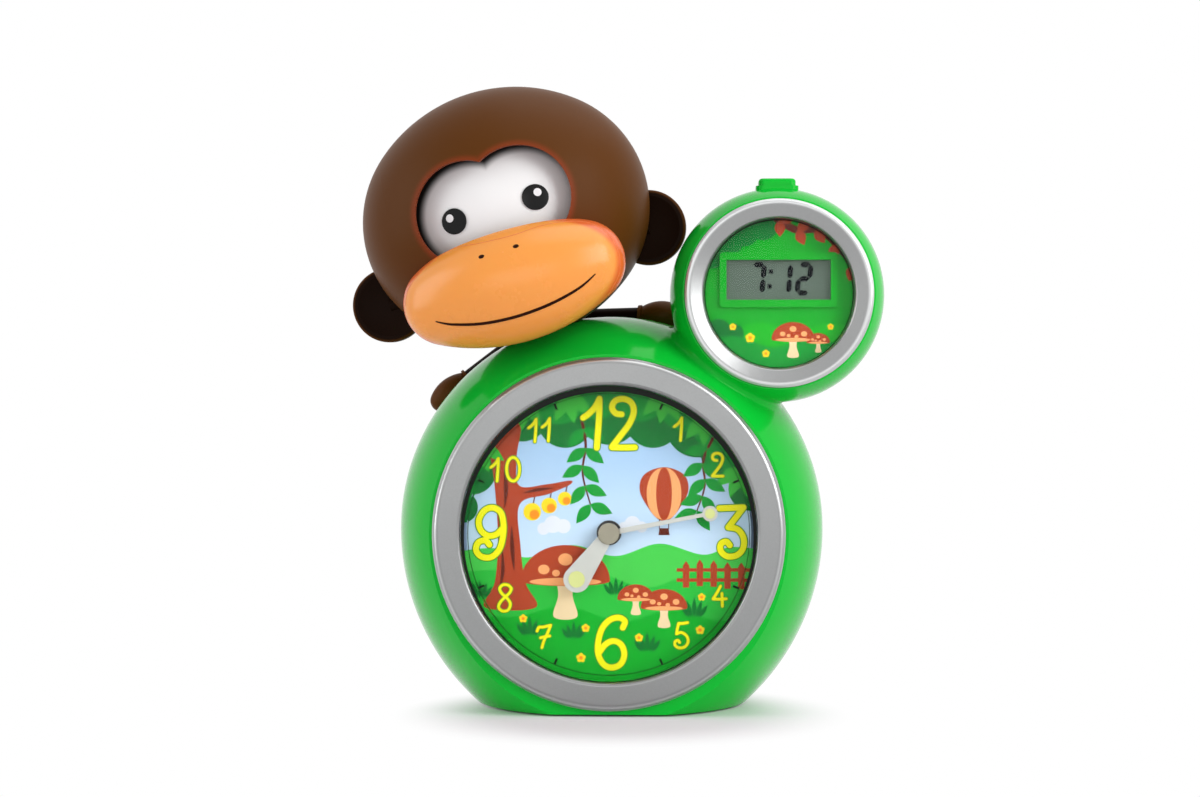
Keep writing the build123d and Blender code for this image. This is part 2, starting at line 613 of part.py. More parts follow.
def board_posts():
    """Places of the four posts that carry the control board."""
    middle_z = (SWITCH_Z + BUTTON_Z) / 2
    low_x = BOARD_LOW_X + 2.4
    high_x = BOARD_HIGH_X - 2.4
    between_switches = (SWITCH_XS[0] + SWITCH_XS[1] + SWITCH_TRAVEL) / 2
    return ((low_x, middle_z), (high_x, middle_z), (between_switches, SWITCH_Z))


def anti_slip_pad():
    return rod_z(PAD_R, 0, PAD_T)


def casing_screws():
    screws = []
    for x, z in SCREW_SPOTS:
        head = rod_y(SCREW_HEAD_R, SCREW_SEAT, SCREW_SEAT + SCREW_HEAD_T, x, z)
        shank = rod_y(SCREW_R, SCREW_SEAT - SCREW_LENGTH, SCREW_SEAT, x, z)
        slot = block(x - 2, x + 2, SCREW_SEAT + 1.1, SCREW_SEAT + 3, z - 0.35, z + 0.35)
        slot += block(x - 0.35, x + 0.35, SCREW_SEAT + 1.1, SCREW_SEAT + 3, z - 2, z + 2)
        screws.append(head + shank - slot)
    return Compound(children=screws)


# ---------------------------------------------------------------- main dial
def main_bezel():
    face = Polygon(
        (BEZEL_HOLE_R, BEZEL_FACE_Y), (BEZEL_R, BEZEL_FACE_Y), (BEZEL_R, LEDGE_Y), (BEZEL_HOLE_R, LEDGE_Y),
        align=None,
    )
    front = face.vertices().sort_by(Axis.Y)[:2]
    face = fillet(front, BEZEL_EDGE)
    return Pos(0, 0, BALL_Z) * revolve(face, Axis.Y)


def main_lens():
    """Clear cup: flat front, skirt back to the dial, lugs behind the bezel."""
    front = BEZEL_FACE_Y + LENS_INSET
    outside = BEZEL_HOLE_R - FIT
    inside = outside - LENS_T
    cup = rod_y(outside, front, DIAL_Y) - rod_y(inside, front + LENS_T, DIAL_Y + 1)
    lug_y = LEDGE_Y + FIT
    for number in range(LENS_LUGS):
        turn = 360 / LENS_LUGS * (number + 0.5)
        reach = WELL_R - FIT - 0.2
        lug = block(outside - 0.6, reach, lug_y, lug_y + LUG_T, -LUG_WIDTH / 2, LUG_WIDTH / 2)
        cup += Pos(0, 0, BALL_Z) * Rot(0, turn, 0) * lug
    return cup


def dial_plate():
    return ring_y(WELL_R - FIT, NOSE_R + FIT, DIAL_Y, FLOOR_Y)


def centre_nut():
    return ring_y(NUT_R, NOSE_R, NUT_FRONT_Y, DIAL_Y)


def hand_direction(angle):
    """Unit vector at a clock angle, seen from the front."""
    return Vector(sin(radians(angle)), 0, cos(radians(angle)))


def hand_blade(angle, length, hub_r, root_r, tip_r, y_from, y_to):
    """Flat hand: hub disc, tip disc and a straight-sided blade between them."""
    blade = Polygon((0, -root_r), (length, -tip_r), (length, tip_r), (0, root_r), align=None)
    plan = Circle(hub_r) + Pos(length, 0) * Circle(tip_r) + blade
    flat = Pos(0, y_to, BALL_Z) * Rot(0, angle - 90, 0) * Rot(90, 0, 0) * extrude(plan, y_to - y_from)
    return flat


def lume_disc(angle, length, radius, face_y):
    spot = hand_direction(angle) * length
    return rod_y(radius, face_y - LUME_T, face_y, spot.X, BALL_Z + spot.Z)


def minute_hand():
    front = MINUTE_HAND_Y - HAND_T
    hand = hand_blade(MINUTE_ANGLE, MINUTE_HAND_LENGTH, MINUTE_HUB_R, 0.85, 0.55, front, MINUTE_HAND_Y)
    spot = hand_direction(MINUTE_ANGLE) * MINUTE_HAND_LENGTH
    hand += rod_y(MINUTE_TIP_R, front, MINUTE_HAND_Y, spot.X, BALL_Z + spot.Z)
    return hand - rod_y(PIPE_R - 0.3, front - 1, MINUTE_HAND_Y + 1)


def minute_hand_lume():
    return lume_disc(MINUTE_ANGLE, MINUTE_HAND_LENGTH, MINUTE_LUME_R, MINUTE_HAND_Y - HAND_T)


def hour_hand():
    front = HOUR_HAND_Y - HAND_T
    hand = hand_blade(HOUR_ANGLE, HOUR_HAND_LENGTH, HOUR_HUB_R, 1.9, HOUR_TIP_R, front, HOUR_HAND_Y)
    hand += rod_y(HOUR_HUB_R, HUB_FRONT_Y, front)
    return hand - rod_y(HOUR_ARBOR_R, HUB_FRONT_Y + 0.5, HOUR_HAND_Y + 1)


def hour_hand_lume():
    return lume_disc(HOUR_ANGLE, HOUR_HAND_LENGTH, HOUR_LUME_R, HOUR_HAND_Y - HAND_T)


# ---------------------------------------------------------------- movement
def minute_pipe():
    """Pipe that carries the minute hand, with its wheel and cannon pinion."""
    pipe = rod_y(PIPE_R, CASE_IN_Y - MOVEMENT_WALL, PIPE_END_Y)
    pipe += rod_y(PIPE_R, MINUTE_HAND_Y, MOVEMENT_Y)
    pipe += rod_y(PIPE_R - 0.3, MINUTE_HAND_Y - HAND_T, MINUTE_HAND_Y)
    pipe += gear_y(MINUTE_TEETH, MINUTE_WHEEL_Y, GEAR_W, 0, 90)
    pipe += gear_y(CANNON_TEETH, CANNON_Y, GEAR_W + 1.0, 0, 90)
    return pipe - rod_y(HOUR_ARBOR_R + RUNNING, MINUTE_HAND_Y - 5, PIPE_END_Y + 1)


def hour_wheel():
    """Hour wheel and the long arbor that carries the hour hand."""
    arbor = rod_y(HOUR_ARBOR_R, HUB_FRONT_Y + 0.5, MOVEMENT_BACK_Y - 0.4)
    hub = rod_y(PIPE_R, PIPE_END_Y + END_PLAY, CASE_OUT_Y - END_PLAY)
    return arbor + hub + gear_y(HOUR_TEETH, HOUR_WHEEL_Y, GEAR_W, 0, 90)


def intermediate_wheel():
    """Intermediate wheel, its pinion and the long stem of the time-set knob."""
    wheel_gap = -90 + 180 / INTERMEDIATE_TEETH
    pinion_gap = -90 + 180 / INTERMEDIATE_PINION
    arbor = rod_y(ARBOR_R, MOVEMENT_Y + 0.3, MOVEMENT_BACK_Y, 0, INTERMEDIATE_Z)
    stem = rod_y(STEM_R, MOVEMENT_BACK_Y + END_PLAY, REAR_Y, 0, INTERMEDIATE_Z)
    wheel = gear_y(INTERMEDIATE_TEETH, INTERMEDIATE_Y, GEAR_W, 0, wheel_gap, 0, INTERMEDIATE_Z)
    pinion_y = INTERMEDIATE_Y + GEAR_W
    length = CASE_OUT_Y - END_PLAY - pinion_y
    pinion = gear_y(INTERMEDIATE_PINION, pinion_y, length, 0, pinion_gap, 0, INTERMEDIATE_Z)
    joint = rod_y(ARBOR_R, MOVEMENT_BACK_Y - 1, MOVEMENT_BACK_Y + 1, 0, INTERMEDIATE_Z)
    return arbor + stem + wheel + pinion + joint


def time_set_knob():
    knob = rod_y(KNOB_R, REAR_Y - KNOB_RECESS + 0.5, REAR_Y - KNOB_RECESS + KNOB_LENGTH, 0, INTERMEDIATE_Z)
    for flute in range(16):
        angle = radians(flute * 360 / 16)
        x = (KNOB_R + 0.5) * cos(angle)
        z = (KNOB_R + 0.5) * sin(angle)
        knob -= rod_y(0.9, REAR_Y - KNOB_RECESS, REAR_Y + KNOB_LENGTH, x, INTERMEDIATE_Z + z)
    return knob - rod_y(STEM_R, REAR_Y - KNOB_RECESS, REAR_Y, 0, INTERMEDIATE_Z)


def drive_pinion():
    phase = 90 + 180 / DRIVE_TEETH
    arbor = rod_y(ARBOR_R, MOVEMENT_Y + 0.3, UNIT_Y + 2.0, 0, DRIVE_Z)
    return arbor + gear_y(DRIVE_TEETH, MINUTE_WHEEL_Y - 0.2, GEAR_W + 0.4, 0, phase, 0, DRIVE_Z)


def stepper_unit():
    """Sealed stepper and reduction, with its coil beside it."""
    top = DRIVE_Z + ARBOR_R + 0.5
    low = BALL_Z - MOVEMENT_W / 2 + MOVEMENT_WALL
    body = block(-UNIT_LEFT, UNIT_RIGHT, UNIT_Y, CASE_OUT_Y, low, top)
    coil_body = rod_y(COIL_R, CASE_IN_Y, CASE_OUT_Y, -COIL_OUT, low + COIL_R)
    return body + coil_body - rod_y(ARBOR_R + RUNNING, UNIT_Y - 1, UNIT_Y + 2.4, 0, DRIVE_Z)


def movement_front_case():
    """Box with the threaded nose, open to the back."""
    low = MOVEMENT_Y
    case = plate_y(MOVEMENT_W, MOVEMENT_W, 4, low, CASE_OUT_Y)
    room = MOVEMENT_W - 2 * MOVEMENT_WALL
    case -= plate_y(room, room, 4 - MOVEMENT_WALL, CASE_IN_Y, CASE_OUT_Y + 1)
    case += rod_y(NOSE_R, low - NOSE_LENGTH + FIT, low)
    case -= rod_y(PIPE_R + RUNNING, low - 10, CASE_IN_Y + 1)
    for z in (INTERMEDIATE_Z, DRIVE_Z):
        case -= rod_y(ARBOR_R + RUNNING, MOVEMENT_Y - 1, CASE_IN_Y + 1, 0, z)
    return case


def movement_rear_case():
    plate = plate_y(MOVEMENT_W, MOVEMENT_W, 4, CASE_OUT_Y, MOVEMENT_BACK_Y)
    plate -= rod_y(HOUR_ARBOR_R + RUNNING, CASE_OUT_Y - 1, MOVEMENT_BACK_Y + 1)
    plate -= rod_y(ARBOR_R + RUNNING, CASE_OUT_Y - 1, MOVEMENT_BACK_Y + 1, 0, INTERMEDIATE_Z)
    return plate


# ---------------------------------------------------------------- back
def battery(side, z):
    """One AA cell along X, its nub towards side."""
    start = -side * (BAY_HALF - CONTACT_T - SPRING_GAP)
    end = start + side * AA_LENGTH
    return rod_x(AA_R, start, end, AA_Y, z) + rod_x(AA_NUB_R, end, end + side * AA_NUB, AA_Y, z)


def battery_side(number):
    """+1 where the cell's nub points to +X; cells alternate."""
    return 1 if number % 2 == 0 else -1


def batteries():
    return Compound(children=[battery(battery_side(i), z) for i, z in enumerate(AA_ZS)])


def battery_contacts():
    """End plates of the bay, each with one coil spring where a cell's flat end sits."""
    pieces = []
    for number, z in enumerate(AA_ZS):
        for side in (-1, 1):
            outer = side * BAY_HALF
            plate = block(outer - side * CONTACT_T, outer, AA_Y - 5, AA_Y + 5, z - 5, z + 5)
            if side != battery_side(number):
                spring = coil(2.8, 0.3, SPRING_GAP - 0.6, 2.5)
                turn = Rot(0, 90, 0) if side < 0 else Rot(0, -90, 0)
                plate += Pos(outer - side * (CONTACT_T + 0.25), AA_Y, z) * turn * spring
            pieces.append(plate)
    return Compound(children=pieces)


def battery_cover():
    height = BAY_HIGH - BAY_LOW + 2 * BAY_LIP - 2 * FIT
    width = 2 * (BAY_HALF + BAY_LIP - FIT)
    cover = plate_y(width, height, BAY_CORNER - FIT, BAY_COVER_Y, REAR_Y, z=(BAY_LOW + BAY_HIGH) / 2)
    cover += rod_y(COVER_TAB_R, BAY_COVER_Y, REAR_Y, COVER_SCREW_X, COVER_SCREW_Z)
    for i in range(5):
        z = BAY_LOW + 4 + 2.4 * i
        cover -= block(-8, 8, REAR_Y - 0.6, REAR_Y + 1, z, z + 1.2)
    return cover - rod_y(SCREW_R + 0.2, BAY_COVER_Y - 1, REAR_Y + 1, COVER_SCREW_X, COVER_SCREW_Z)


def battery_cover_screw():
    head = rod_y(SCREW_HEAD_R, REAR_Y, REAR_Y + 1.4, COVER_SCREW_X, COVER_SCREW_Z)
    shank = rod_y(SCREW_R, BAY_COVER_Y - 6, REAR_Y, COVER_SCREW_X, COVER_SCREW_Z)
    cross = block(-1.8, 1.8, REAR_Y + 0.6, REAR_Y + 2, -0.3, 0.3)
    cross += block(-0.3, 0.3, REAR_Y + 0.6, REAR_Y + 2, -1.8, 1.8)
    cross = Pos(COVER_SCREW_X, 0, COVER_SCREW_Z) * cross
    return head + shank - cross


def speaker_frame():
    """Basket and magnet, resting on the inside of the rear panel."""
    basket = ring_y(SPEAKER_R, SPEAKER_R - 1.5, PANEL_Y - 3, PANEL_Y, SPEAKER_X, SPEAKER_Z)
    basket += rod_y(SPEAKER_R, PANEL_Y - 4, PANEL_Y - 3, SPEAKER_X, SPEAKER_Z)
    return basket + rod_y(SPEAKER_R * 0.55, PANEL_Y - SPEAKER_T, PANEL_Y - 4, SPEAKER_X, SPEAKER_Z)


def speaker_cone():
    cone = rod_y(SPEAKER_R - 1.5, PANEL_Y - 3, PANEL_Y - 2.2, SPEAKER_X, SPEAKER_Z)
    return cone + rod_y(4.5, PANEL_Y - 2.2, PANEL_Y - 1.4, SPEAKER_X, SPEAKER_Z)


def control_board():
    """Board with dome switches under the buttons and two slide switch bodies."""
    board = block(BOARD_LOW_X, BOARD_HIGH_X, BOARD_Y - BOARD_T, BOARD_Y, BOARD_LOW_Z, BOARD_HIGH_Z)
    for x in BUTTON_XS:
        board += block(x - 3, x + 3, BOARD_Y, BOARD_Y + 1.5, BUTTON_Z - 3, BUTTON_Z + 3)
    for x in SWITCH_XS:
        middle = x + SWITCH_TRAVEL / 2
        body = block(middle - 4.6, middle + 4.6, BOARD_Y, BOARD_Y + 2.4, SWITCH_Z - 3.4, SWITCH_Z + 3.4)
        board += body
    return board


def push_button(x):
    """Button with a retaining flange and a stem above its dome switch."""
    top = REAR_Y + BUTTON_PROUD
    face = rod_y(BUTTON_R, PANEL_Y - 1.4, top, x, BUTTON_Z)
    face = fillet(face.edges().group_by(Axis.Y)[-1], 0.8)
    face += rod_y(BUTTON_R + 1.0, PANEL_Y - 1.4, PANEL_Y - 0.3, x, BUTTON_Z)
    return face + rod_y(1.2, BOARD_Y + 1.5 + BUTTON_TRAVEL + 0.1, PANEL_Y - 1.4, x, BUTTON_Z)


def slide_switch(x):
    """Lever of a slide switch, standing in its slot."""
    lever = block(
        x - LEVER_W / 2, x + LEVER_W / 2, BOARD_Y + 2.7, REAR_Y + 1.6,
        SWITCH_Z - LEVER_H / 2, SWITCH_Z + LEVER_H / 2,
    )
    for offset in (-0.9, 0.0, 0.9):
        groove_x = x + offset
        lever -= block(groove_x - 0.2, groove_x + 0.2, REAR_Y + 1.2, REAR_Y + 2, SWITCH_Z - 3, SWITCH_Z + 3)
    return lever


# ---------------------------------------------------------------- pod
def pod_bezel():
    front = POD_FACE_Y - POD_BEZEL_PROUD
    face = Polygon(
        (POD_BEZEL_HOLE_R, front), (POD_BEZEL_R, front),
        (POD_BEZEL_R, POD_LEDGE_Y), (POD_BEZEL_HOLE_R, POD_LEDGE_Y), align=None,
    )
    face = fillet(face.vertices().sort_by(Axis.Y)[:2], 0.9)
    return Pos(POD.X, 0, POD.Z) * revolve(face, Axis.Y)


def pod_lens():
    """Flat clear disc with a short skirt that holds the face plate down."""
    radius = POD_WELL_R - FIT
    lens = rod_y(radius, POD_LENS_Y, POD_PLATE_Y, POD.X, POD.Z)
    return lens - rod_y(radius - 1.1, POD_LENS_Y + POD_LENS_T, POD_PLATE_Y + 1, POD.X, POD.Z)


def pod_face_plate():
    """Printed plate with the raised frame round the display's opening."""
    plate = rod_y(POD_WELL_R - FIT, POD_PLATE_Y, POD_GLASS_Y, POD.X, POD.Z)
    centre_z = POD.Z + DISPLAY_UP
    plate += plate_y(FRAME_W, FRAME_H, 1.2, POD_PLATE_Y - FRAME_T, POD_PLATE_Y, POD.X, centre_z)
    opening = block(
        POD.X - DISPLAY_W / 2, POD.X + DISPLAY_W / 2, POD_PLATE_Y - 5, POD_GLASS_Y + 1,
        centre_z - DISPLAY_H / 2, centre_z + DISPLAY_H / 2,
    )
    return plate - opening


def lcd_glass():
    centre_z = POD.Z + DISPLAY_UP
    return block(
        POD.X - DISPLAY_W / 2 - 1.6, POD.X + DISPLAY_W / 2 + 1.6, POD_GLASS_Y, POD_BOARD_Y,
        centre_z - DISPLAY_H / 2 - 1.4, centre_z + DISPLAY_H / 2 + 1.4,
    )


def lcd_board():
    return rod_y(POD_WELL_R - FIT, POD_BOARD_Y, POD_WELL_BACK_Y, POD.X, POD.Z)


def snooze_button():
    """Rounded block with a flange under the pod's roof and a stem to the switch."""
    cap = RectangleRounded(SNOOZE_W, SNOOZE_D, 2.0)
    cap = extrude(cap, SNOOZE_TOP - SNOOZE_FLANGE_Z)
    cap = fillet(cap.edges().group_by(Axis.Z)[-1], 1.0)
    flange = extrude(RectangleRounded(SNOOZE_W + 2.4, SNOOZE_D + 2.4, 2.0), SNOOZE_FLANGE_T)
    stem = rod_z(SNOOZE_STEM_R, SNOOZE_STEM_Z - SNOOZE_FLANGE_Z, 0)
    return Pos(POD.X, POD.Y, SNOOZE_FLANGE_Z) * (cap + flange + stem)


def snooze_switch():
    """Upright switch on the back of the display board, under the button's stem."""
    body = block(
        POD.X - SNOOZE_SWITCH_W / 2, POD.X + SNOOZE_SWITCH_W / 2, POD_WELL_BACK_Y, POD.Y + 3.5,
        SNOOZE_SWITCH_Z - SNOOZE_SWITCH_H, SNOOZE_SWITCH_Z,
    )
    return body + rod_z(1.3, SNOOZE_SWITCH_Z, SNOOZE_SWITCH_Z + 1.0, POD.X, POD.Y)


def snooze_spring():
    height = SNOOZE_FLANGE_Z - SNOOZE_SWITCH_Z - 2 * SNOOZE_WIRE_R - 0.1
    spring = coil(SNOOZE_SPRING_R, SNOOZE_WIRE_R, height, 5)
    return Pos(POD.X, POD.Y, SNOOZE_SWITCH_Z + SNOOZE_WIRE_R + 0.05) * spring


# ---------------------------------------------------------------- head
def clear_of_ball(gap):
    """Ball-shaped room that the head, muzzle and body stay out of."""
    return at(BALL) * Sphere(BALL_R + gap)


def in_front_of(y):
    """Local half space in front of a plane of the head's frame."""
    return block(-SPLIT_R, SPLIT_R, -SPLIT_R, y, -SPLIT_R, SPLIT_R)


def behind(y):
    """Local half space behind a plane of the head's frame."""
    return block(-SPLIT_R, SPLIT_R, y, SPLIT_R, -SPLIT_R, SPLIT_R)


def head_shell():
    """Turned head with a blind bearing for the eye axle at each end, cut away over the ball."""
    skin = oval_half(HEAD_LONG, HEAD_R) - oval_half(HEAD_LONG - HEAD_WALL, HEAD_R - HEAD_WALL)
    boss_length = HEAD_LONG - HEAD_WALL / 2 - BEARING_X
    bore_length = BEARING_END - BEARING_X
    for side in (-1, 1):
        skin += Pos(side * (BEARING_X + boss_length / 2), 0) * Rectangle(boss_length, 2 * BEARING_R)
        skin -= Pos(side * (BEARING_X + bore_length / 2), 0) * Rectangle(bore_length, 2 * (AXLE_R + RUNNING))
    turned = revolve(skin & Pos(0, HEAD_R) * Rectangle(2 * HEAD_LONG, 2 * HEAD_R), Axis.X)
    return IN_HEAD * turned - clear_of_ball(PARTING)


def eye_window():
    """Two-lobed opening, as a bar that runs forward out of the head; the muzzle covers its foot."""
    lobes = Pos(WINDOW_SHIFT - WINDOW_LOBE_X, WINDOW_LOBE_Z) * Circle(WINDOW_LOBE_R)
    lobes += Pos(WINDOW_SHIFT + WINDOW_LOBE_X, WINDOW_LOBE_Z) * Circle(WINDOW_LOBE_R)
    return Rot(90, 0, 0) * extrude(lobes, HEAD_R * 1.5)


def head_front_shell():
    shell = head_shell() & IN_HEAD * in_front_of(HEAD_SPLIT)
    shell -= IN_HEAD * eye_window()
    return shell


def bracket_posts():
    """Places of the posts between the rear head shell and the bracket."""
    return [(x, z) for x in (BRACKET_XS[0] + 4, BRACKET_XS[1] - 6) for z in (-8, 8)]


def neck_line():
    """Origin at the torso's centre, Z along the neck into the head."""
    return Plane(origin=TORSO, z_dir=HEAD - TORSO)


def neck_length():
    """From the torso's centre to just inside the head."""
    return (HEAD - TORSO).length - HEAD_R + HEAD_WALL + 2.5


def head_rear_shell():
    shell = head_shell() & IN_HEAD * behind(HEAD_SPLIT)
    for x, z in bracket_posts():
        post_end = spheroid_reach(HEAD_LONG - HEAD_WALL, HEAD_R - HEAD_WALL, x, z)
        shell += IN_HEAD * rod_y(3.0, BRACKET_Y + BRACKET_T, post_end + HEAD_WALL / 2, x, z)
    shell -= neck_line() * Pos(0, 0, neck_length() / 2 + 5) * Cylinder(COLLAR_R + FIT, neck_length() + 10)
    for side in (-1, 1):
        shell -= IN_HEAD * ear_peg(side, FIT)
    return shell


def ear_x(side):
    """How far an ear's middle lies along the eye axle."""
    return RIGHT_EAR_OUT if side > 0 else -LEFT_EAR_OUT


def ear_peg(side, extra=0.0):
    """Peg that holds an ear in the rear shell's wall."""
    inner = side * (RIGHT_EAR_OUT - EAR_PEG)
    return rod_x(EAR_PEG_R + extra, inner, ear_x(side), EAR_BACK, -EAR_DOWN)


def ear(side):
    """Round ear with a dished front, cut to the head's surface, on its peg."""
    disc = rod_y(EAR_R, EAR_BACK - EAR_T / 2, EAR_BACK + EAR_T / 2, ear_x(side), -EAR_DOWN)
    disc = fillet(disc.edges().group_by(Axis.Y)[0], 1.2)
    disc = fillet(disc.edges().group_by(Axis.Y)[-1], 2.4)
    dish_r = (EAR_DISH_R**2 + EAR_DISH_DEPTH**2) / (2 * EAR_DISH_DEPTH)
    dish_y = EAR_BACK - EAR_T / 2 + EAR_DISH_DEPTH - dish_r
    disc -= Pos(ear_x(side), dish_y, -EAR_DOWN) * Sphere(dish_r)
    disc -= spheroid(HEAD_LONG, HEAD_R)
    peg = ear_peg(side) - spheroid(HEAD_LONG - HEAD_WALL - 1.5, HEAD_R - HEAD_WALL - 1.5)
    return IN_HEAD * (disc + peg)


def muzzle():
    """Hollow muzzle that sits on the head's surface and clears the ball."""
    place = Pos(0, -MUZZLE_FORWARD, -MUZZLE_DOWN)
    cup = place * spheroid(MUZZLE_LONG, MUZZLE_R) - spheroid(HEAD_LONG, HEAD_R)
    cup -= place * spheroid(MUZZLE_LONG - MUZZLE_WALL, MUZZLE_R - MUZZLE_WALL)
    return IN_HEAD * cup - clear_of_ball(PARTING)


def roller_sector(angle_from, angle_to, inner_r):
    """Sector of the roller between two angles: its shell and two end ribs."""
    half = Pos(0, HEAD_R) * Rectangle(2 * ROLLER_HALF, 2 * HEAD_R)
    middle = Rectangle(2 * (ROLLER_HALF - RIB_T), 4 * HEAD_R)
    solid = oval_half(ROLLER_LONG, ROLLER_R)
    skin = solid - oval_half(ROLLER_LONG - ROLLER_WALL, ROLLER_R - ROLLER_WALL)
    ribs = solid - middle - Rectangle(4 * HEAD_R, 2 * inner_r)
    profile = (skin + ribs) & half
    return revolve(Rot(180 - angle_to, 0, 0) * profile, Axis.X, revolution_arc=angle_to - angle_from)


def eye_shell():
    """White front of the roller, with the two hubs on the axle."""
    sector = roller_sector(EYE_LOW, EYE_HIGH, (AXLE_R + HUB_R) / 2)
    for side in (-1, 1):
        sector += rod_x(HUB_R, side * (ROLLER_HALF - RIB_T), side * ROLLER_HALF)
    return IN_HEAD * (sector - rod_x(AXLE_R, -HEAD_LONG, HEAD_LONG))


def eyelid_shell():
    return IN_HEAD * roller_sector(EYE_HIGH, EYE_HIGH + EYE_CLOSE, HUB_R)


def pupils():
    discs = []
    skin = spheroid_shell(ROLLER_LONG + PUPIL_T, ROLLER_R + PUPIL_T, PUPIL_T)
    for side in (-1, 1):
        spot = rod_y(PUPIL_R, -HEAD_R, 0, WINDOW_SHIFT + side * PUPIL_X, PUPIL_Z)
        discs.append(IN_HEAD * (skin & spot))
    return Compound(children=discs)


def eye_axle():
    end = BEARING_END - END_PLAY
    return IN_HEAD * rod_x(AXLE_R, -end, end)


def gear_x(teeth, x_from, width, bore, phase, y=0.0):
    """Eye gear about the axle's direction; phase 90 points backwards."""
    return Pos(x_from, y, 0) * Rot(0, 90, 0) * gear(teeth, EYE_MODULE, width, bore, phase)


def eye_gear():
    wheel = gear_x(EYE_GEAR_TEETH, GEAR_X, EYE_GEAR_W, AXLE_R, 90)
    hub = rod_x(HUB_R, ROLLER_HALF, GEAR_X) - rod_x(AXLE_R, ROLLER_HALF - 1, GEAR_X + 1)
    return IN_HEAD * (wheel + hub)


def eye_motor():
    can = rod_x(MOTOR_R, MOTOR_END_X - MOTOR_LENGTH, MOTOR_END_X, MOTOR_Y)
    return IN_HEAD * (can - rod_x(1.0 + RUNNING, MOTOR_END_X - 4, MOTOR_END_X + 1, MOTOR_Y))


def eye_motor_pinion():
    gap = -90 + 180 / EYE_PINION_TEETH
    pinion = gear_x(EYE_PINION_TEETH, GEAR_X, EYE_GEAR_W, 0, gap, MOTOR_Y)
    return IN_HEAD * (pinion + rod_x(1.0, MOTOR_END_X - 3.6, GEAR_X, MOTOR_Y))


def eye_bracket():
    """Plate behind the axle that clamps the motor and carries the light board."""
    plate = block(*BRACKET_XS, BRACKET_Y, BRACKET_Y + BRACKET_T, -BRACKET_HALF_Z, BRACKET_HALF_Z)
    clamp_x = MOTOR_END_X - MOTOR_LENGTH / 2
    clamp = block(clamp_x - 5, clamp_x + 5, MOTOR_Y - 2, BRACKET_Y, -MOTOR_R - 1.6, MOTOR_R + 1.6)
    clamp -= rod_x(MOTOR_R, clamp_x - 6, clamp_x + 6, MOTOR_Y)
    return IN_HEAD * (plate + clamp)


def led_board():
    """Light board for the eyes, with one domed lamp."""
    middle_x = (BRACKET_XS[0] + MOTOR_END_X - MOTOR_LENGTH) / 2
    half = LAMP_BOARD_HALF
    face = BRACKET_Y - BOARD_T
    board = block(middle_x - half, middle_x + half, face, BRACKET_Y, -half, half)
    lamp = rod_y(LAMP_R, face - 3, face, middle_x, 0)
    lamp += Pos(middle_x, face - 3, 0) * Sphere(LAMP_R)
    return IN_HEAD * (board + lamp)


# ---------------------------------------------------------------- body
def torso_solid(shrink=0.0):
    return TORSO_FRAME * spheroid(TORSO_LONG - shrink, TORSO_R - shrink)


def torso():
    """Hollow body on the ball's back, with the neck that plugs into the head."""
    shell = TORSO_FRAME * spheroid_shell(TORSO_LONG, TORSO_R, TORSO_WALL) - clear_of_ball(0)
    low = TORSO_R - TORSO_WALL / 2
    high = neck_length()
    shell += neck_line() * rod_z(COLLAR_R, low, high)
    return shell - neck_line() * rod_z(COLLAR_R - COLLAR_WALL, low - 5, high + 1)


def wrist(hand, shoulder):
    """Point where an arm meets its hand."""
    return hand + (shoulder - hand).normalized() * (HAND_LONG - 1.5)


def arm(shoulder, hand):
    """Bent tube from the body to the hand, on the ball's back."""
    end = wrist(hand, shoulder)
    tube = limb(shoulder, end, ARM_R)
    return tube - torso_solid() - hand_solid(shoulder, hand) - clear_of_ball(PARTING)


def hand_solid(shoulder, hand):
    """Egg-shaped hand with a cuff ring at its wrist."""
    along = shoulder - hand
    egg = Plane(origin=hand, x_dir=along, z_dir=along.cross(UP)) * spheroid(HAND_LONG, HAND_R)
    cuff = Plane(origin=wrist(hand, shoulder), z_dir=along) * Cylinder(CUFF_R, CUFF_T)
    return egg + cuff - clear_of_ball(PARTING)


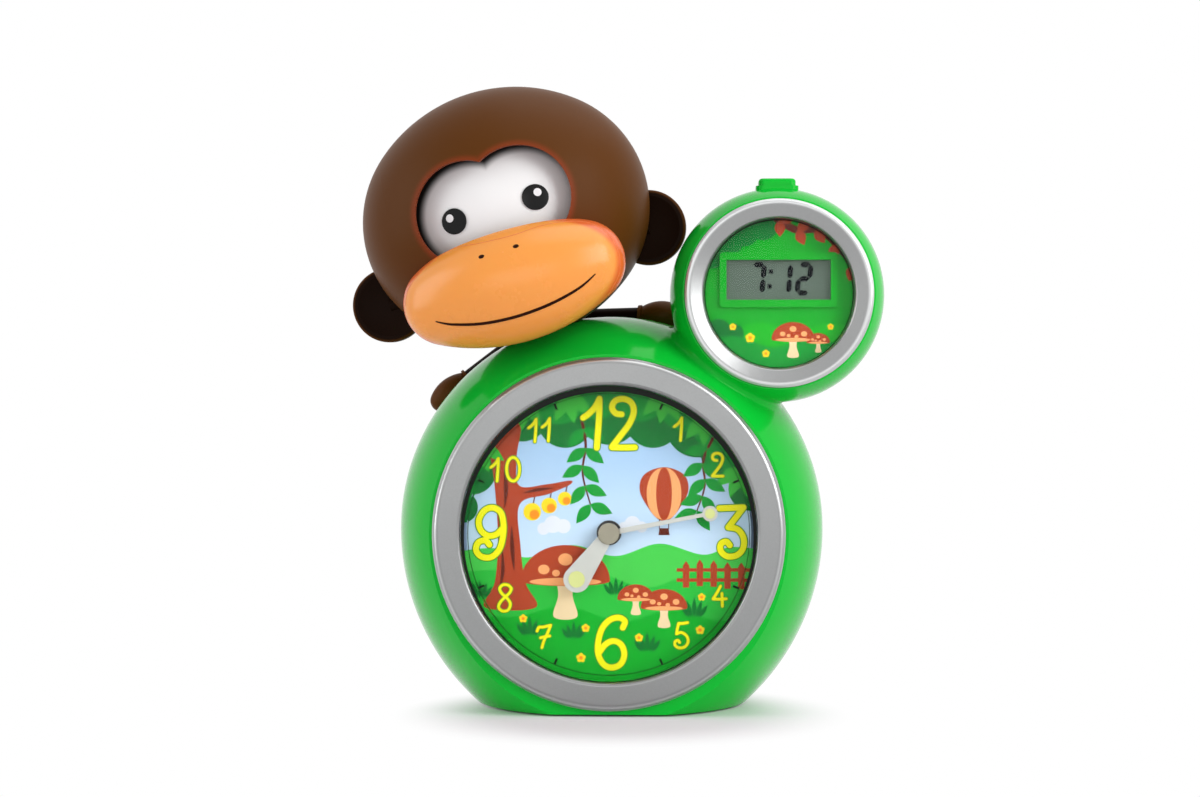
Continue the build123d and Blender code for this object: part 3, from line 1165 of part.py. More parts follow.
# ---------------------------------------------------------------- all pieces
PIECES = {
    "front_casing": front_casing,
    "rear_casing": rear_casing,
    "anti_slip_pad": anti_slip_pad,
    "casing_screws": casing_screws,
    "main_bezel": main_bezel,
    "main_lens": main_lens,
    "dial_plate": dial_plate,
    "centre_nut": centre_nut,
    "minute_hand": minute_hand,
    "minute_hand_lume": minute_hand_lume,
    "hour_hand": hour_hand,
    "hour_hand_lume": hour_hand_lume,
    "minute_pipe": minute_pipe,
    "hour_wheel": hour_wheel,
    "intermediate_wheel": intermediate_wheel,
    "time_set_knob": time_set_knob,
    "drive_pinion": drive_pinion,
    "stepper_unit": stepper_unit,
    "movement_front_case": movement_front_case,
    "movement_rear_case": movement_rear_case,
    "batteries": batteries,
    "battery_contacts": battery_contacts,
    "battery_cover": battery_cover,
    "battery_cover_screw": battery_cover_screw,
    "speaker_frame": speaker_frame,
    "speaker_cone": speaker_cone,
    "control_board": control_board,
    "hour_button": lambda: push_button(BUTTON_XS[0]),
    "minute_button": lambda: push_button(BUTTON_XS[1]),
    "mode_button": lambda: push_button(BUTTON_XS[2]),
    "alarm_switch": lambda: slide_switch(SWITCH_XS[0]),
    "night_light_switch": lambda: slide_switch(SWITCH_XS[1]),
    "pod_bezel": pod_bezel,
    "pod_lens": pod_lens,
    "pod_face_plate": pod_face_plate,
    "lcd_glass": lcd_glass,
    "lcd_board": lcd_board,
    "snooze_button": snooze_button,
    "snooze_switch": snooze_switch,
    "snooze_spring": snooze_spring,
    "head_front_shell": head_front_shell,
    "head_rear_shell": head_rear_shell,
    "muzzle": muzzle,
    "left_ear": lambda: ear(-1),
    "right_ear": lambda: ear(1),
    "eye_shell": eye_shell,
    "eyelid_shell": eyelid_shell,
    "pupils": pupils,
    "eye_axle": eye_axle,
    "eye_gear": eye_gear,
    "eye_motor": eye_motor,
    "eye_motor_pinion": eye_motor_pinion,
    "eye_bracket": eye_bracket,
    "led_board": led_board,
    "torso": torso,
    "left_arm": lambda: arm(LEFT_SHOULDER, LEFT_HAND),
    "left_hand": lambda: hand_solid(LEFT_SHOULDER, LEFT_HAND),
    "right_arm": lambda: arm(RIGHT_SHOULDER, RIGHT_HAND),
    "right_hand": lambda: hand_solid(RIGHT_SHOULDER, RIGHT_HAND),
}

os.makedirs("parts", exist_ok=True)
for name, make in PIECES.items():
    export_step(make(), f"parts/{name}.step")
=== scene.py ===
"""Looks of a kids alarm clock with night light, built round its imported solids.

Metres, in the solids' own frame: +X is the viewer's right, -Y faces the viewer, +Z is up.
Sizes named in millimetres are turned into metres by MM where they are used.
"""
import json
from math import asin, atan2, cos, pi, radians, sin

import bmesh
import bpy
import numpy as np
from mathutils import Matrix, Vector
from mathutils.bvhtree import BVHTree
from mathutils.geometry import delaunay_2d_cdt, intersect_line_line_2d


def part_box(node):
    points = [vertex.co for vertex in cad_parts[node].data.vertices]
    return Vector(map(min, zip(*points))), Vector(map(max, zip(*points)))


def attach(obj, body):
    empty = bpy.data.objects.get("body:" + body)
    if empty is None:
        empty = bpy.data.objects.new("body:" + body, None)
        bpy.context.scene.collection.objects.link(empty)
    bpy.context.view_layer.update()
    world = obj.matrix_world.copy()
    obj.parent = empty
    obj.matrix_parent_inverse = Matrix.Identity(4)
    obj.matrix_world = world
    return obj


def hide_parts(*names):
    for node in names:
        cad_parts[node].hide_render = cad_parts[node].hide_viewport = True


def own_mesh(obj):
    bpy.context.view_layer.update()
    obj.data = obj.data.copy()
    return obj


MM = 0.001
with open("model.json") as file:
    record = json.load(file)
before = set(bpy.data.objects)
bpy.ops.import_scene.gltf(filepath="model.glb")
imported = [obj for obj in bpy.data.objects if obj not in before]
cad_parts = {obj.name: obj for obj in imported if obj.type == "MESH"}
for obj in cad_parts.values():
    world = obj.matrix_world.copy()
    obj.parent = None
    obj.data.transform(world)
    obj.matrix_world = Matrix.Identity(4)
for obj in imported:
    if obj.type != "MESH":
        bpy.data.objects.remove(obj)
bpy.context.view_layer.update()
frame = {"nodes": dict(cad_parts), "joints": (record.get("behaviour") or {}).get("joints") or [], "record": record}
node_objects = frame["nodes"]
joints = {joint["name"]: joint for joint in frame["joints"]}


def head_frame():
    """Placement of the head: its centre, with X along the eyes' axle."""
    joint = joints["eye_close"]
    axis = Vector(joint["axis"])
    yaw = asin(-axis.y)
    tilt = atan2(axis.z, axis.x)
    return (Matrix.Translation(Vector(joint["pos_m"])) @ Matrix.Rotation(-tilt, 4, "Y")
            @ Matrix.Rotation(-yaw, 4, "Z"))


HEAD = head_frame()


# ---------------------------------------------------------------- shader tools
# numbers of a Mix node's sockets when it mixes colours: its factor, both colours, and the result
MIX_FACTOR = 0
MIX_FIRST = 6
MIX_SECOND = 7
MIX_RESULT = 2


def plug(tree, socket, value):
    """Links a socket to another one, or gives it a value."""
    if isinstance(value, bpy.types.NodeSocket):
        tree.links.new(value, socket)
    else:
        socket.default_value = value


def set_inputs(tree, node, **values):
    """Fills a node's inputs; underscores in their names stand for spaces."""
    for label, value in values.items():
        plug(tree, node.inputs[label.replace("_", " ")], value)


def add(tree, kind, settings=None, **inputs):
    """New shader node with its settings and inputs."""
    made = tree.nodes.new("ShaderNode" + kind)
    for name, value in (settings or {}).items():
        setattr(made, name, value)
    set_inputs(tree, made, **inputs)
    return made


WHITE = (1.0, 1.0, 1.0, 1.0)


def rgba(colour):
    return (*colour, 1.0)


def math_node(tree, operation, first, second=0.0, clamp=False):
    made = add(tree, "Math", {"operation": operation, "use_clamp": clamp})
    plug(tree, made.inputs[0], first)
    plug(tree, made.inputs[1], second)
    return made.outputs[0]


def vector_node(tree, operation, first, second=(0.0, 0.0, 0.0), output="Vector"):
    made = add(tree, "VectorMath", {"operation": operation})
    plug(tree, made.inputs[0], first)
    plug(tree, made.inputs[1], second)
    return made.outputs[output]


def ramped(tree, value, low, high):
    """Smooth step from 0 at low to 1 at high."""
    made = add(tree, "MapRange", {"interpolation_type": "SMOOTHSTEP"}, Value=value, From_Min=low,
               From_Max=high)
    return made.outputs["Result"]


def mixed(tree, factor, first, second):
    """Colour mix of two colours or sockets."""
    made = add(tree, "Mix", {"data_type": "RGBA"})
    plug(tree, made.inputs[MIX_FACTOR], factor)
    plug(tree, made.inputs[MIX_FIRST], first)
    plug(tree, made.inputs[MIX_SECOND], second)
    return made.outputs[MIX_RESULT]


def two_shaders(tree, factor, first, second):
    """One shader that turns from the first into the second as the factor rises."""
    made = add(tree, "MixShader", Fac=factor)
    tree.links.new(first.outputs[0], made.inputs[1])
    tree.links.new(second.outputs[0], made.inputs[2])
    return made.outputs[0]


def new_group(name, inputs, outputs):
    """Shader node group with named sockets; inputs are (name, kind, default)."""
    group = bpy.data.node_groups.new(name, "ShaderNodeTree")
    for label, kind, default in inputs:
        socket = group.interface.new_socket(name=label, in_out="INPUT", socket_type="NodeSocket" + kind)
        socket.default_value = default
    for label, kind in outputs:
        group.interface.new_socket(name=label, in_out="OUTPUT", socket_type="NodeSocket" + kind)
    return group, group.nodes.new("NodeGroupInput"), group.nodes.new("NodeGroupOutput")


def uneven_gloss(group, noise, roughness, spread):
    """Roughness that swings with a noise, by its spread."""
    centred = math_node(group, "SUBTRACT", noise.outputs["Fac"], 0.5)
    swing = math_node(group, "MULTIPLY", centred, spread)
    return math_node(group, "ADD", roughness, swing, True)


def raised(group, noise, depth):
    """Normal of a skin that rises with a noise, by its depth in metres."""
    bump = add(group, "Bump", Strength=1.0, Distance=depth, Height=noise.outputs["Fac"])
    return bump.outputs["Normal"]


def moulded_skin_group():
    """Moulded plastic: cloudy colour, uneven gloss and a fine skin."""
    group, given, result = new_group(
        "moulded_skin",
        [
            ("Colour", "Color", (0.5, 0.5, 0.5, 1.0)),
            ("Shade", "Color", (0.4, 0.4, 0.4, 1.0)),
            ("Cloud Scale", "Float", 20.0),
            ("Roughness", "Float", 0.4),
            ("Roughness Spread", "Float", 0.05),
            ("Skin Scale", "Float", 1500.0),
            ("Skin Depth", "Float", 0.00001),
        ],
        [("Colour", "Color"), ("Roughness", "Float"), ("Normal", "Vector")],
    )
    values = given.outputs
    place = add(group, "TexCoord").outputs["Object"]
    cloud = add(group, "TexNoise", Vector=place, Scale=values["Cloud Scale"], Detail=3.0)
    colour = mixed(group, cloud.outputs["Fac"], values["Colour"], values["Shade"])
    smear = add(group, "TexNoise", Vector=place, Scale=60.0, Detail=4.0, Roughness=0.6)
    gloss = uneven_gloss(group, smear, values["Roughness"], values["Roughness Spread"])
    skin = add(group, "TexNoise", Vector=place, Scale=values["Skin Scale"], Detail=2.0)
    normal = raised(group, skin, values["Skin Depth"])
    set_inputs(group, result, Colour=colour, Roughness=gloss, Normal=normal)
    return group


def brushed_group():
    """Metal turned or brushed round the dial's axis: fine rings in height and gloss."""
    group, given, result = new_group(
        "brushed_rings",
        [("Ring Scale", "Float", 2500.0), ("Roughness", "Float", 0.3), ("Ring Depth", "Float", 0.00001)],
        [("Roughness", "Float"), ("Normal", "Vector")],
    )
    values = given.outputs
    place = add(group, "TexCoord").outputs["Object"]
    stretched = add(group, "Mapping", {"vector_type": "POINT"}, Vector=place, Scale=(1.0, 1.0, 0.04))
    lines = add(group, "TexNoise", Vector=stretched.outputs[0], Scale=values["Ring Scale"], Detail=3.0)
    gloss = uneven_gloss(group, lines, values["Roughness"], 0.2)
    set_inputs(group, result, Roughness=gloss, Normal=raised(group, lines, values["Ring Depth"]))
    return group


FLAT_MM = (1 / MM, 0.0, 1 / MM)


def head_place(tree):
    """Millimetres across and up in the head's own frame, with no depth."""
    place = add(tree, "TexCoord").outputs["Object"]
    local = add(tree, "Mapping", {"vector_type": "TEXTURE"}, Vector=place, Location=HEAD.to_translation(),
                Rotation=HEAD.to_euler())
    return vector_node(tree, "MULTIPLY", local.outputs["Vector"], FLAT_MM)


WINDOW_R = 16.4
WINDOW_MIDDLES = ((-7.8, 0.0, 1.0), (9.6, 0.0, 1.0))


def window_depth_group():
    """How far a point of the face lies inside the eye window's two rounds; below zero outside them."""
    group, given, result = new_group("window_depth", [("Shift", "Vector", (0.0, 0.0, 0.0))],
                                     [("Depth", "Float")])
    spot = vector_node(group, "ADD", head_place(group), given.outputs["Shift"])
    reaches = [vector_node(group, "DISTANCE", spot, middle, "Value") for middle in WINDOW_MIDDLES]
    depth = math_node(group, "SUBTRACT", WINDOW_R, math_node(group, "MINIMUM", *reaches))
    set_inputs(group, result, Depth=depth)
    return group


def axis_distance_group():
    """Distance in millimetres from an axis that runs from front to back."""
    group, given, result = new_group("axis_distance", [("Centre", "Vector", (0.0, 0.0, 0.0))],
                                     [("Distance", "Float")])
    place = add(group, "TexCoord").outputs["Object"]
    offset = vector_node(group, "SUBTRACT", place, given.outputs["Centre"])
    flat = vector_node(group, "MULTIPLY", offset, FLAT_MM)
    set_inputs(group, result, Distance=vector_node(group, "LENGTH", flat, output="Value"))
    return group


MOULDED = moulded_skin_group()
BRUSHED = brushed_group()
WINDOW_DEPTH = window_depth_group()
AXIS_DISTANCE = axis_distance_group()


def grouped(tree, group, **values):
    """A node group placed in a tree, with its own values."""
    made = tree.nodes.new("ShaderNodeGroup")
    made.node_tree = group
    set_inputs(tree, made, **values)
    return made


def middle_of(node):
    """Middle of a solid's box, across and up."""
    low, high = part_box(node)
    return (low.x + high.x) / 2, (low.z + high.z) / 2


def half_width(node):
    """Half the width of a solid's box, in millimetres."""
    low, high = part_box(node)
    return (high.x - low.x) / 2 / MM


def reach_from(tree, node):
    """Millimetres from the axis through a solid's middle."""
    across, up = middle_of(node)
    return grouped(tree, AXIS_DISTANCE, Centre=(across, 0.0, up)).outputs["Distance"]


def shader_material(name):
    """Empty material with a Principled shader on its output."""
    material = bpy.data.materials.new(name)
    material.use_nodes = True
    tree = material.node_tree
    return material, tree, tree.nodes["Principled BSDF"]


def moulded(name, colour, shade, roughness, sheen=0.5, spread=0.06, cloud=20.0, skin=1500.0, depth=0.00001,
            tint=None, **plain):
    """Plastic or paint with the moulded skin; tint reworks its colour, plain has the shader's own values."""
    material, tree, principled = shader_material(name)
    made = grouped(tree, MOULDED, Colour=rgba(colour), Shade=rgba(shade), Cloud_Scale=cloud,
                   Roughness=roughness, Roughness_Spread=spread, Skin_Scale=skin, Skin_Depth=depth).outputs
    paint = tint(tree, made["Colour"]) if tint else made["Colour"]
    set_inputs(tree, principled, Base_Color=paint, Roughness=made["Roughness"], Normal=made["Normal"],
               Specular_IOR_Level=sheen, **plain)
    return material


def brushed(name, colour, roughness):
    """Bright metal with brushed lines."""
    material, tree, principled = shader_material(name)
    lines = grouped(tree, BRUSHED, Roughness=roughness).outputs
    set_inputs(tree, principled, Base_Color=rgba(colour), Metallic=1.0, Roughness=lines["Roughness"],
               Normal=lines["Normal"])
    return material


# ---------------------------------------------------------------- colours
GREEN = (0.004, 0.560, 0.040)
GREEN_SHADE = (0.004, 0.510, 0.034)
BROWN = (0.112, 0.037, 0.006)
BROWN_SHADE = (0.098, 0.032, 0.005)
DARK_BROWN = (0.0115, 0.0040, 0.0015)
DARK_BROWN_SHADE = (0.009, 0.003, 0.001)
# lighter brown of the ears' rims, a painted highlight
EAR_RIM_HIGHLIGHT = (0.085, 0.028, 0.005)
ORANGE = (0.98, 0.365, 0.060)
ORANGE_SHADE = (0.96, 0.335, 0.050)
RUSSET = (0.210, 0.040, 0.010)
RED_ORANGE = (0.82, 0.150, 0.030)
SILVER = (0.285, 0.29, 0.29)
SILVER_SHADE = (0.25, 0.255, 0.255)
# the pod bezel's satin silver, painted lighter than the main bezel's to stand in for the light it catches
POD_SILVER_LIT = (0.365, 0.37, 0.37)
POD_SILVER_SHADE = (0.33, 0.335, 0.335)
# lighter paint at the bezels' outer edges, a painted highlight
RIM_PAINTED_HIGHLIGHT = (0.56, 0.57, 0.57)
HAND_SILVER = (0.44, 0.45, 0.42)
HAND_SHADE = (0.40, 0.41, 0.38)
STEEL_CAP = (0.23, 0.215, 0.16)
# dark colour of the eye whites' painted shade at the window's edge
EYE_PAINTED_SHADE = (0.020, 0.018, 0.016)
SKY = (0.30, 0.46, 0.66)
SKY_SHADE = (0.33, 0.49, 0.68)
PALE_SKY = (0.46, 0.60, 0.74)

# millimetres between which one colour turns into another
WINDOW_RUSSET = (-2.4, -0.1)
# the eye whites' painted shade, from full at the window's edge to none further in
EYE_WINDOW_SHADE_RAMP = (-1.2, 2.1)
# the ears' painted highlight, by distance from each ear's middle
EAR_HIGHLIGHT_ZONE = (11.2, 12.2)
STEEL_CAP_EDGE = (3.55, 3.70)
# how far the painted shade on the eyes sits off the window's middle, in millimetres
EYE_WINDOW_SHADE_SHIFT = (-0.8, 0.0, 0.7)


def window_rim(tree, paint):
    """Head colour, redder round the edge of the eye window."""
    depth = grouped(tree, WINDOW_DEPTH).outputs["Depth"]
    return mixed(tree, ramped(tree, depth, *WINDOW_RUSSET), paint, rgba(RUSSET))


def painted_window_shade(tree, paint):
    """Eye white with painted shade, darker towards the window's edge, most of all at the upper left."""
    depth = grouped(tree, WINDOW_DEPTH, Shift=EYE_WINDOW_SHADE_SHIFT).outputs["Depth"]
    return mixed(tree, ramped(tree, depth, *EYE_WINDOW_SHADE_RAMP), rgba(EYE_PAINTED_SHADE), paint)


# half the muzzle's length and height and the place of its middle, in millimetres of the head's own frame
MUZZLE_LONG = 36.2
MUZZLE_HALF = 18.9
MUZZLE_UP = -24.0
RIM_SHIFT = 0.7
# shares of the muzzle's reach between which its rim comes in
MUZZLE_RIM = (0.93, 0.985)


def muzzle_rim(tree, paint):
    """Muzzle colour, redder round the rim of its front, most of all at the upper right."""
    centred = vector_node(tree, "SUBTRACT", head_place(tree), (-RIM_SHIFT, 0.0, MUZZLE_UP - RIM_SHIFT))
    scaled = vector_node(tree, "DIVIDE", centred, (MUZZLE_LONG, 1.0, MUZZLE_HALF))
    share = vector_node(tree, "LENGTH", scaled, output="Value")
    return mixed(tree, ramped(tree, share, *MUZZLE_RIM), paint, rgba(RED_ORANGE))


EAR_MIDDLES = {"left_ear": (-46.9, 0.0, -16.7), "right_ear": (43.5, 0.0, -16.7)}


def ear_with_rim_highlight(node):
    """Dark ear with a painted highlight: a lighter brown rim round its outside."""
    def rim_highlight(tree, paint):
        reach = vector_node(tree, "DISTANCE", head_place(tree), EAR_MIDDLES[node], "Value")
        return mixed(tree, ramped(tree, reach, *EAR_HIGHLIGHT_ZONE), paint, rgba(EAR_RIM_HIGHLIGHT))

    return moulded(node + "_paint", DARK_BROWN, DARK_BROWN_SHADE, 0.42, tint=rim_highlight, sheen=0.04)


def clear_plastic():
    """Clear lens: lets shadow rays through so that what lies behind it stays lit."""
    material, tree, principled = shader_material("clear_lens")
    set_inputs(tree, principled, Base_Color=WHITE, Roughness=0.015, IOR=1.13, Transmission_Weight=1.0)
    clear = add(tree, "BsdfTransparent")
    shadow = add(tree, "LightPath").outputs["Is Shadow Ray"]
    set_inputs(tree, tree.nodes["Material Output"], Surface=two_shaders(tree, shadow, principled, clear))
    return material


# a ring rounds off near its outer edge: how far inside the edge that ends, how wide it is, and how far
# it drops, in millimetres; and the shares of its width between which the paint brightens into a painted highlight
RIM_IN = 0.3
RIM_ZONE = 1.9
RIM_DROP = 0.85
RIM_HIGHLIGHT_SHARES = (0.15, 0.7)


def coned_silver(name, node, slope, colour=SILVER, shade=SILVER_SHADE):
    """Satin silver paint; the flat ring shades as a shallow cone that rounds off at its outer edge, with a painted
    highlight there.
    """
    material, tree, principled = shader_material(name)
    made = grouped(tree, MOULDED, Colour=rgba(colour), Shade=rgba(shade), Cloud_Scale=2200.0, Roughness=0.30,
                   Roughness_Spread=0.10, Skin_Scale=5000.0, Skin_Depth=0.00002).outputs
    reach = reach_from(tree, node)
    rim = half_width(node) - RIM_IN
    zone = add(tree, "MapRange", {"clamp": True}, Value=reach, From_Min=rim - RIM_ZONE, From_Max=rim)
    past = zone.outputs["Result"]
    dropped = math_node(tree, "MULTIPLY", math_node(tree, "POWER", past, 2.0), RIM_DROP)
    height = math_node(tree, "SUBTRACT", math_node(tree, "MULTIPLY", reach, -slope), dropped)
    cone = add(tree, "Bump", Strength=1.0, Distance=MM, Height=height, Normal=made["Normal"])
    # paint lighter near the outer edge, a painted highlight
    bright = mixed(tree, ramped(tree, past, *RIM_HIGHLIGHT_SHARES), made["Colour"], rgba(RIM_PAINTED_HIGHLIGHT))
    set_inputs(tree, principled, Base_Color=bright, Roughness=made["Roughness"], Metallic=0.8,
               Normal=cone.outputs["Normal"])
    return material


def hand_metal():
    """Silver-white hands with a darker steel cap at the axis."""
    def capped(tree, paint):
        reach = reach_from(tree, "centre_nut")
        return mixed(tree, ramped(tree, reach, *STEEL_CAP_EDGE), rgba(STEEL_CAP), paint)

    return moulded("hand_metal", HAND_SILVER, HAND_SHADE, 0.36, cloud=300.0, skin=3000.0, tint=capped,
                   Metallic=0.35)


# heights from the dial's middle between which the sky pales, in millimetres
HORIZON_TOP = 30.0
HORIZON_FOOT = -10.0


def sky_print():
    """Printed sky that pales towards the horizon."""
    middle = middle_of("dial_plate")[1]

    def paler(tree, paint):
        up = add(tree, "SeparateXYZ", Vector=add(tree, "TexCoord").outputs["Object"]).outputs["Z"]
        paling = ramped(tree, up, middle + HORIZON_TOP * MM, middle + HORIZON_FOOT * MM)
        return mixed(tree, paling, paint, rgba(PALE_SKY))

    return moulded("sky_print", SKY, SKY_SHADE, 0.35, cloud=60.0, tint=paler, sheen=0.06)


MATERIALS = {
    "green_abs": moulded("green_casing", GREEN, GREEN_SHADE, 0.13, 0.11, spread=0.05, depth=0.000004),
    "snooze_green": moulded("green_button", GREEN, GREEN_SHADE, 0.22, 0.11, depth=0.000006),
    "black_rubber": moulded("black_rubber", (0.018, 0.018, 0.018), (0.03, 0.03, 0.03), 0.75, depth=0.00005),
    "screw_steel": brushed("screw_steel", (0.55, 0.55, 0.55), 0.3),
    "satin_silver": coned_silver("satin_silver", "main_bezel", 0.015),
    "clear_lens": clear_plastic(),
    "printed_dial": sky_print(),
    "printed_pod_face": moulded("pod_print", (0.003, 0.310, 0.014), (0.003, 0.275, 0.012), 0.3, 0.06,
                                cloud=60.0),
    "black_nut": moulded("black_nut", (0.008, 0.008, 0.008), (0.012, 0.012, 0.012), 0.2),
    "black_hands": hand_metal(),
    "luminous_paint": moulded("luminous_paint", (0.50, 0.54, 0.20), (0.46, 0.50, 0.18), 0.7, depth=0.00002),
    "acetal": moulded("white_acetal", (0.78, 0.78, 0.74), (0.74, 0.74, 0.70), 0.4),
    "black_abs": moulded("black_plastic", (0.02, 0.02, 0.022), (0.015, 0.015, 0.017), 0.42, depth=0.00002),
    "battery_cells": moulded("cell_film", (0.02, 0.02, 0.03), (0.03, 0.03, 0.04), 0.3),
    "contact_steel": brushed("contact_steel", (0.6, 0.6, 0.58), 0.25),
    "speaker_steel": brushed("speaker_steel", (0.35, 0.35, 0.35), 0.4),
    "speaker_paper": moulded("speaker_cone_paper", (0.02, 0.02, 0.02), (0.03, 0.03, 0.03), 0.9, depth=0.0001),
    "circuit_board": moulded("solder_mask", (0.012, 0.15, 0.05), (0.010, 0.10, 0.035), 0.35, cloud=300.0),
    "grey_buttons": moulded("grey_keys", (0.10, 0.10, 0.105), (0.085, 0.085, 0.09), 0.5, depth=0.00002),
    "display_glass": moulded("display_cell", (0.085, 0.118, 0.094), (0.076, 0.106, 0.084), 0.28, 0.08,
                             cloud=90.0, skin=3000.0, depth=0.000004),
    "brown_abs": moulded("brown_head", BROWN, BROWN_SHADE, 0.42, 0.07, spread=0.05, depth=0.000008),
    "dark_brown_abs": moulded("dark_brown", DARK_BROWN, DARK_BROWN_SHADE, 0.42, 0.04),
    "orange_abs": moulded("orange_muzzle", ORANGE, ORANGE_SHADE, 0.27, spread=0.05, depth=0.000006,
                          tint=muzzle_rim, Subsurface_Weight=0.12,
                          Subsurface_Radius=(0.004, 0.0015, 0.0008), Subsurface_Scale=1.0),
    # eye whites, with painted shade towards the eye window's edge
    "white_abs": moulded("eye_white", (0.95, 0.95, 0.94), (0.94, 0.94, 0.93), 0.35, 0.25, tint=painted_window_shade),
    "black_pupils": moulded("pupil_black", (0.004, 0.004, 0.004), (0.007, 0.007, 0.007), 0.18, 0.2),
    "axle_steel": brushed("axle_steel", (0.6, 0.6, 0.6), 0.25),
    "motor_steel": brushed("motor_steel", (0.5, 0.5, 0.5), 0.3),
}
# solids that differ from the rest of their slot
OWN_MATERIALS = {
    "head_front_shell": moulded("brown_face", BROWN, BROWN_SHADE, 0.42, 0.07, spread=0.05, depth=0.000008,
                                tint=window_rim),
    # the pod bezel takes a lighter copy of the satin silver, as painted light
    "pod_bezel": coned_silver("satin_silver_pod", "pod_bezel", -0.46, POD_SILVER_LIT, POD_SILVER_SHADE),
    # ears with a painted highlight on their rims
    "left_ear": ear_with_rim_highlight("left_ear"),
    "right_ear": ear_with_rim_highlight("right_ear"),
}


def dress_solids():
    """Gives each solid its own material, or that of its slot."""
    for entry in frame["record"]["subparts"]:
        solid = node_objects[entry["node"]]
        solid.data.materials.clear()
        solid.data.materials.append(OWN_MATERIALS.get(entry["node"], MATERIALS[entry["material_slot"]]))


dress_solids()


# ---------------------------------------------------------------- shape tools
def smooth_open(points, steps=8):
    """Smooth curve through points of any dimension, as a list of tuples."""
    ends = [points[0], *points, points[-1]]
    curve = []
    for a, b, c, d in zip(ends, ends[1:], ends[2:], ends[3:]):
        for step in range(steps):
            curve.append(spline_point(a, b, c, d, step / steps))
    curve.append(tuple(points[-1]))
    return curve


def smooth_closed(points, steps=8):
    """Smooth closed curve through points."""
    curve = []
    count = len(points)
    for i in range(count):
        a, b, c, d = (points[(i + k) % count] for k in (-1, 0, 1, 2))
        for step in range(steps):
            curve.append(spline_point(a, b, c, d, step / steps))
    return curve


def spline_point(a, b, c, d, t):
    """Point of the curve from b to c, with a before and d after them."""
    return tuple(
        0.5 * (2 * q + (r - p) * t + (2 * p - 5 * q + 4 * r - s) * t * t + (3 * q - p - 3 * r + s) * t**3)
        for p, q, r, s in zip(a, b, c, d)
    )


def circle(x, z, radius, count=40, squash=1.0):
    """Ellipse outline, squash times as tall as it is wide."""
    turns = [2 * pi * k / count for k in range(count)]
    return [(x + radius * cos(turn), z + radius * squash * sin(turn)) for turn in turns]


def placed(outline, x, z, size):
    """An outline drawn about zero at size 1, grown and moved to x, z."""
    return [(x + across * size, z + up * size) for across, up in outline]


def leaf(x, z, length, width, turn, steps=12):
    """Pointed oval leaf from its stalk at x, z, along a direction in degrees."""
    edge = [(length * i / steps, width / 2 * sin(pi * (i / steps) ** 0.85)) for i in range(steps + 1)]
    outline = edge + [(along, -out) for along, out in reversed(edge[1:-1])]
    c, s = cos(radians(turn)), sin(radians(turn))
    return [(x + along * c - out * s, z + along * s + out * c) for along, out in outline]


def ground(ridge, depth=70):
    """Everything below a smooth ridge line."""
    return smooth_open(ridge) + [(ridge[-1][0], -depth), (ridge[0][0], -depth)]


def inside(outline, spots):
    """Which of many spots lie inside a closed outline."""
    crossed = np.zeros(len(spots), bool)
    across, up = spots[:, 0], spots[:, 1]
    for (x0, z0), (x1, z1) in zip(outline, outline[1:] + outline[:1]):
        if z0 != z1:
            beside = (z0 > up) != (z1 > up)
            crossed ^= beside & (across < x0 + (up - z0) * (x1 - x0) / (z1 - z0))
    return crossed


def merged(outlines, frame_outline):
    """Points and triangles that cover all outlines once, cut off at a frame's outline."""
    points, edges = [], []
    for outline in [frame_outline, *outlines]:
        first, count = len(points), len(outline)
        points += [Vector(point) for point in outline]
        edges += [(first + i, first + (i + 1) % count) for i in range(count)]
    places, _, triangles, _, _, _ = delaunay_2d_cdt(points, edges, [], 0, 1e-4)
    middles = np.array(places)[np.array(triangles)].mean(axis=1)
    covered = np.zeros(len(middles), bool)
    for outline in outlines:
        low, high = np.min(outline, axis=0), np.max(outline, axis=0)
        near = np.flatnonzero(~covered & ((middles > low) & (middles < high)).all(axis=1))
        covered[near] = inside(outline, middles[near])
    covered &= inside(frame_outline, middles)
    return places, [triangle for triangle, kept in zip(triangles, covered) if kept]


def new_piece(name, shape, material, body, smooth=False):
    """Piece from a bmesh, with its material and body."""
    bmesh.ops.recalc_face_normals(shape, faces=shape.faces)
    mesh = bpy.data.meshes.new(name)
    shape.to_mesh(mesh)
    shape.free()
    mesh.materials.append(material)
    for face in mesh.polygons:
        face.use_smooth = smooth
    piece = bpy.data.objects.new(name, mesh)
    bpy.context.scene.collection.objects.link(piece)
    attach(piece, body)
    return piece


def raise_from(shape, faces, depth, towards):
    """Turns flat faces into a closed plate of some depth."""
    grown = bmesh.ops.extrude_face_region(shape, geom=faces)
    moved = [item for item in grown["geom"] if isinstance(item, bmesh.types.BMVert)]
    bmesh.ops.translate(shape, verts=moved, vec=Vector(towards) * depth)


class Print:
    """A printed plane across X and Z: ink layers stand a hair in front of it."""

    def __init__(self, centre, face_y, limit, body, slot, layer=0.03):
        self.centre, self.face_y, self.limit = centre, face_y, limit
        self.body, self.slot, self.layer = body, slot, layer

    def at(self, x, z, height):
        return (self.centre[0] + x * MM, self.face_y - height * MM, self.centre[1] + z * MM)

    def ink(self, name, level, outlines, material):
        """One colour of ink: closed outlines in millimetres from the centre."""
        places, triangles = merged(outlines, circle(0, 0, self.limit, 160))
        shape = bmesh.new()
        corners = {}
        for i in sorted({i for triangle in triangles for i in triangle}):
            corners[i] = shape.verts.new(self.at(*places[i], level * self.layer))
        faces = [shape.faces.new([corners[i] for i in triangle]) for triangle in triangles]
        raise_from(shape, faces, level * self.layer * MM, (0, 1, 0))
        return new_piece(name, shape, material, self.body)

    def strokes(self, name, level, paths, material):
        """Round-ended brush strokes along (x, z, half width) points in millimetres."""
        outlines = [outline for path in paths for outline in stroke_outlines(path)]
        return self.ink(name, level, outlines, material)


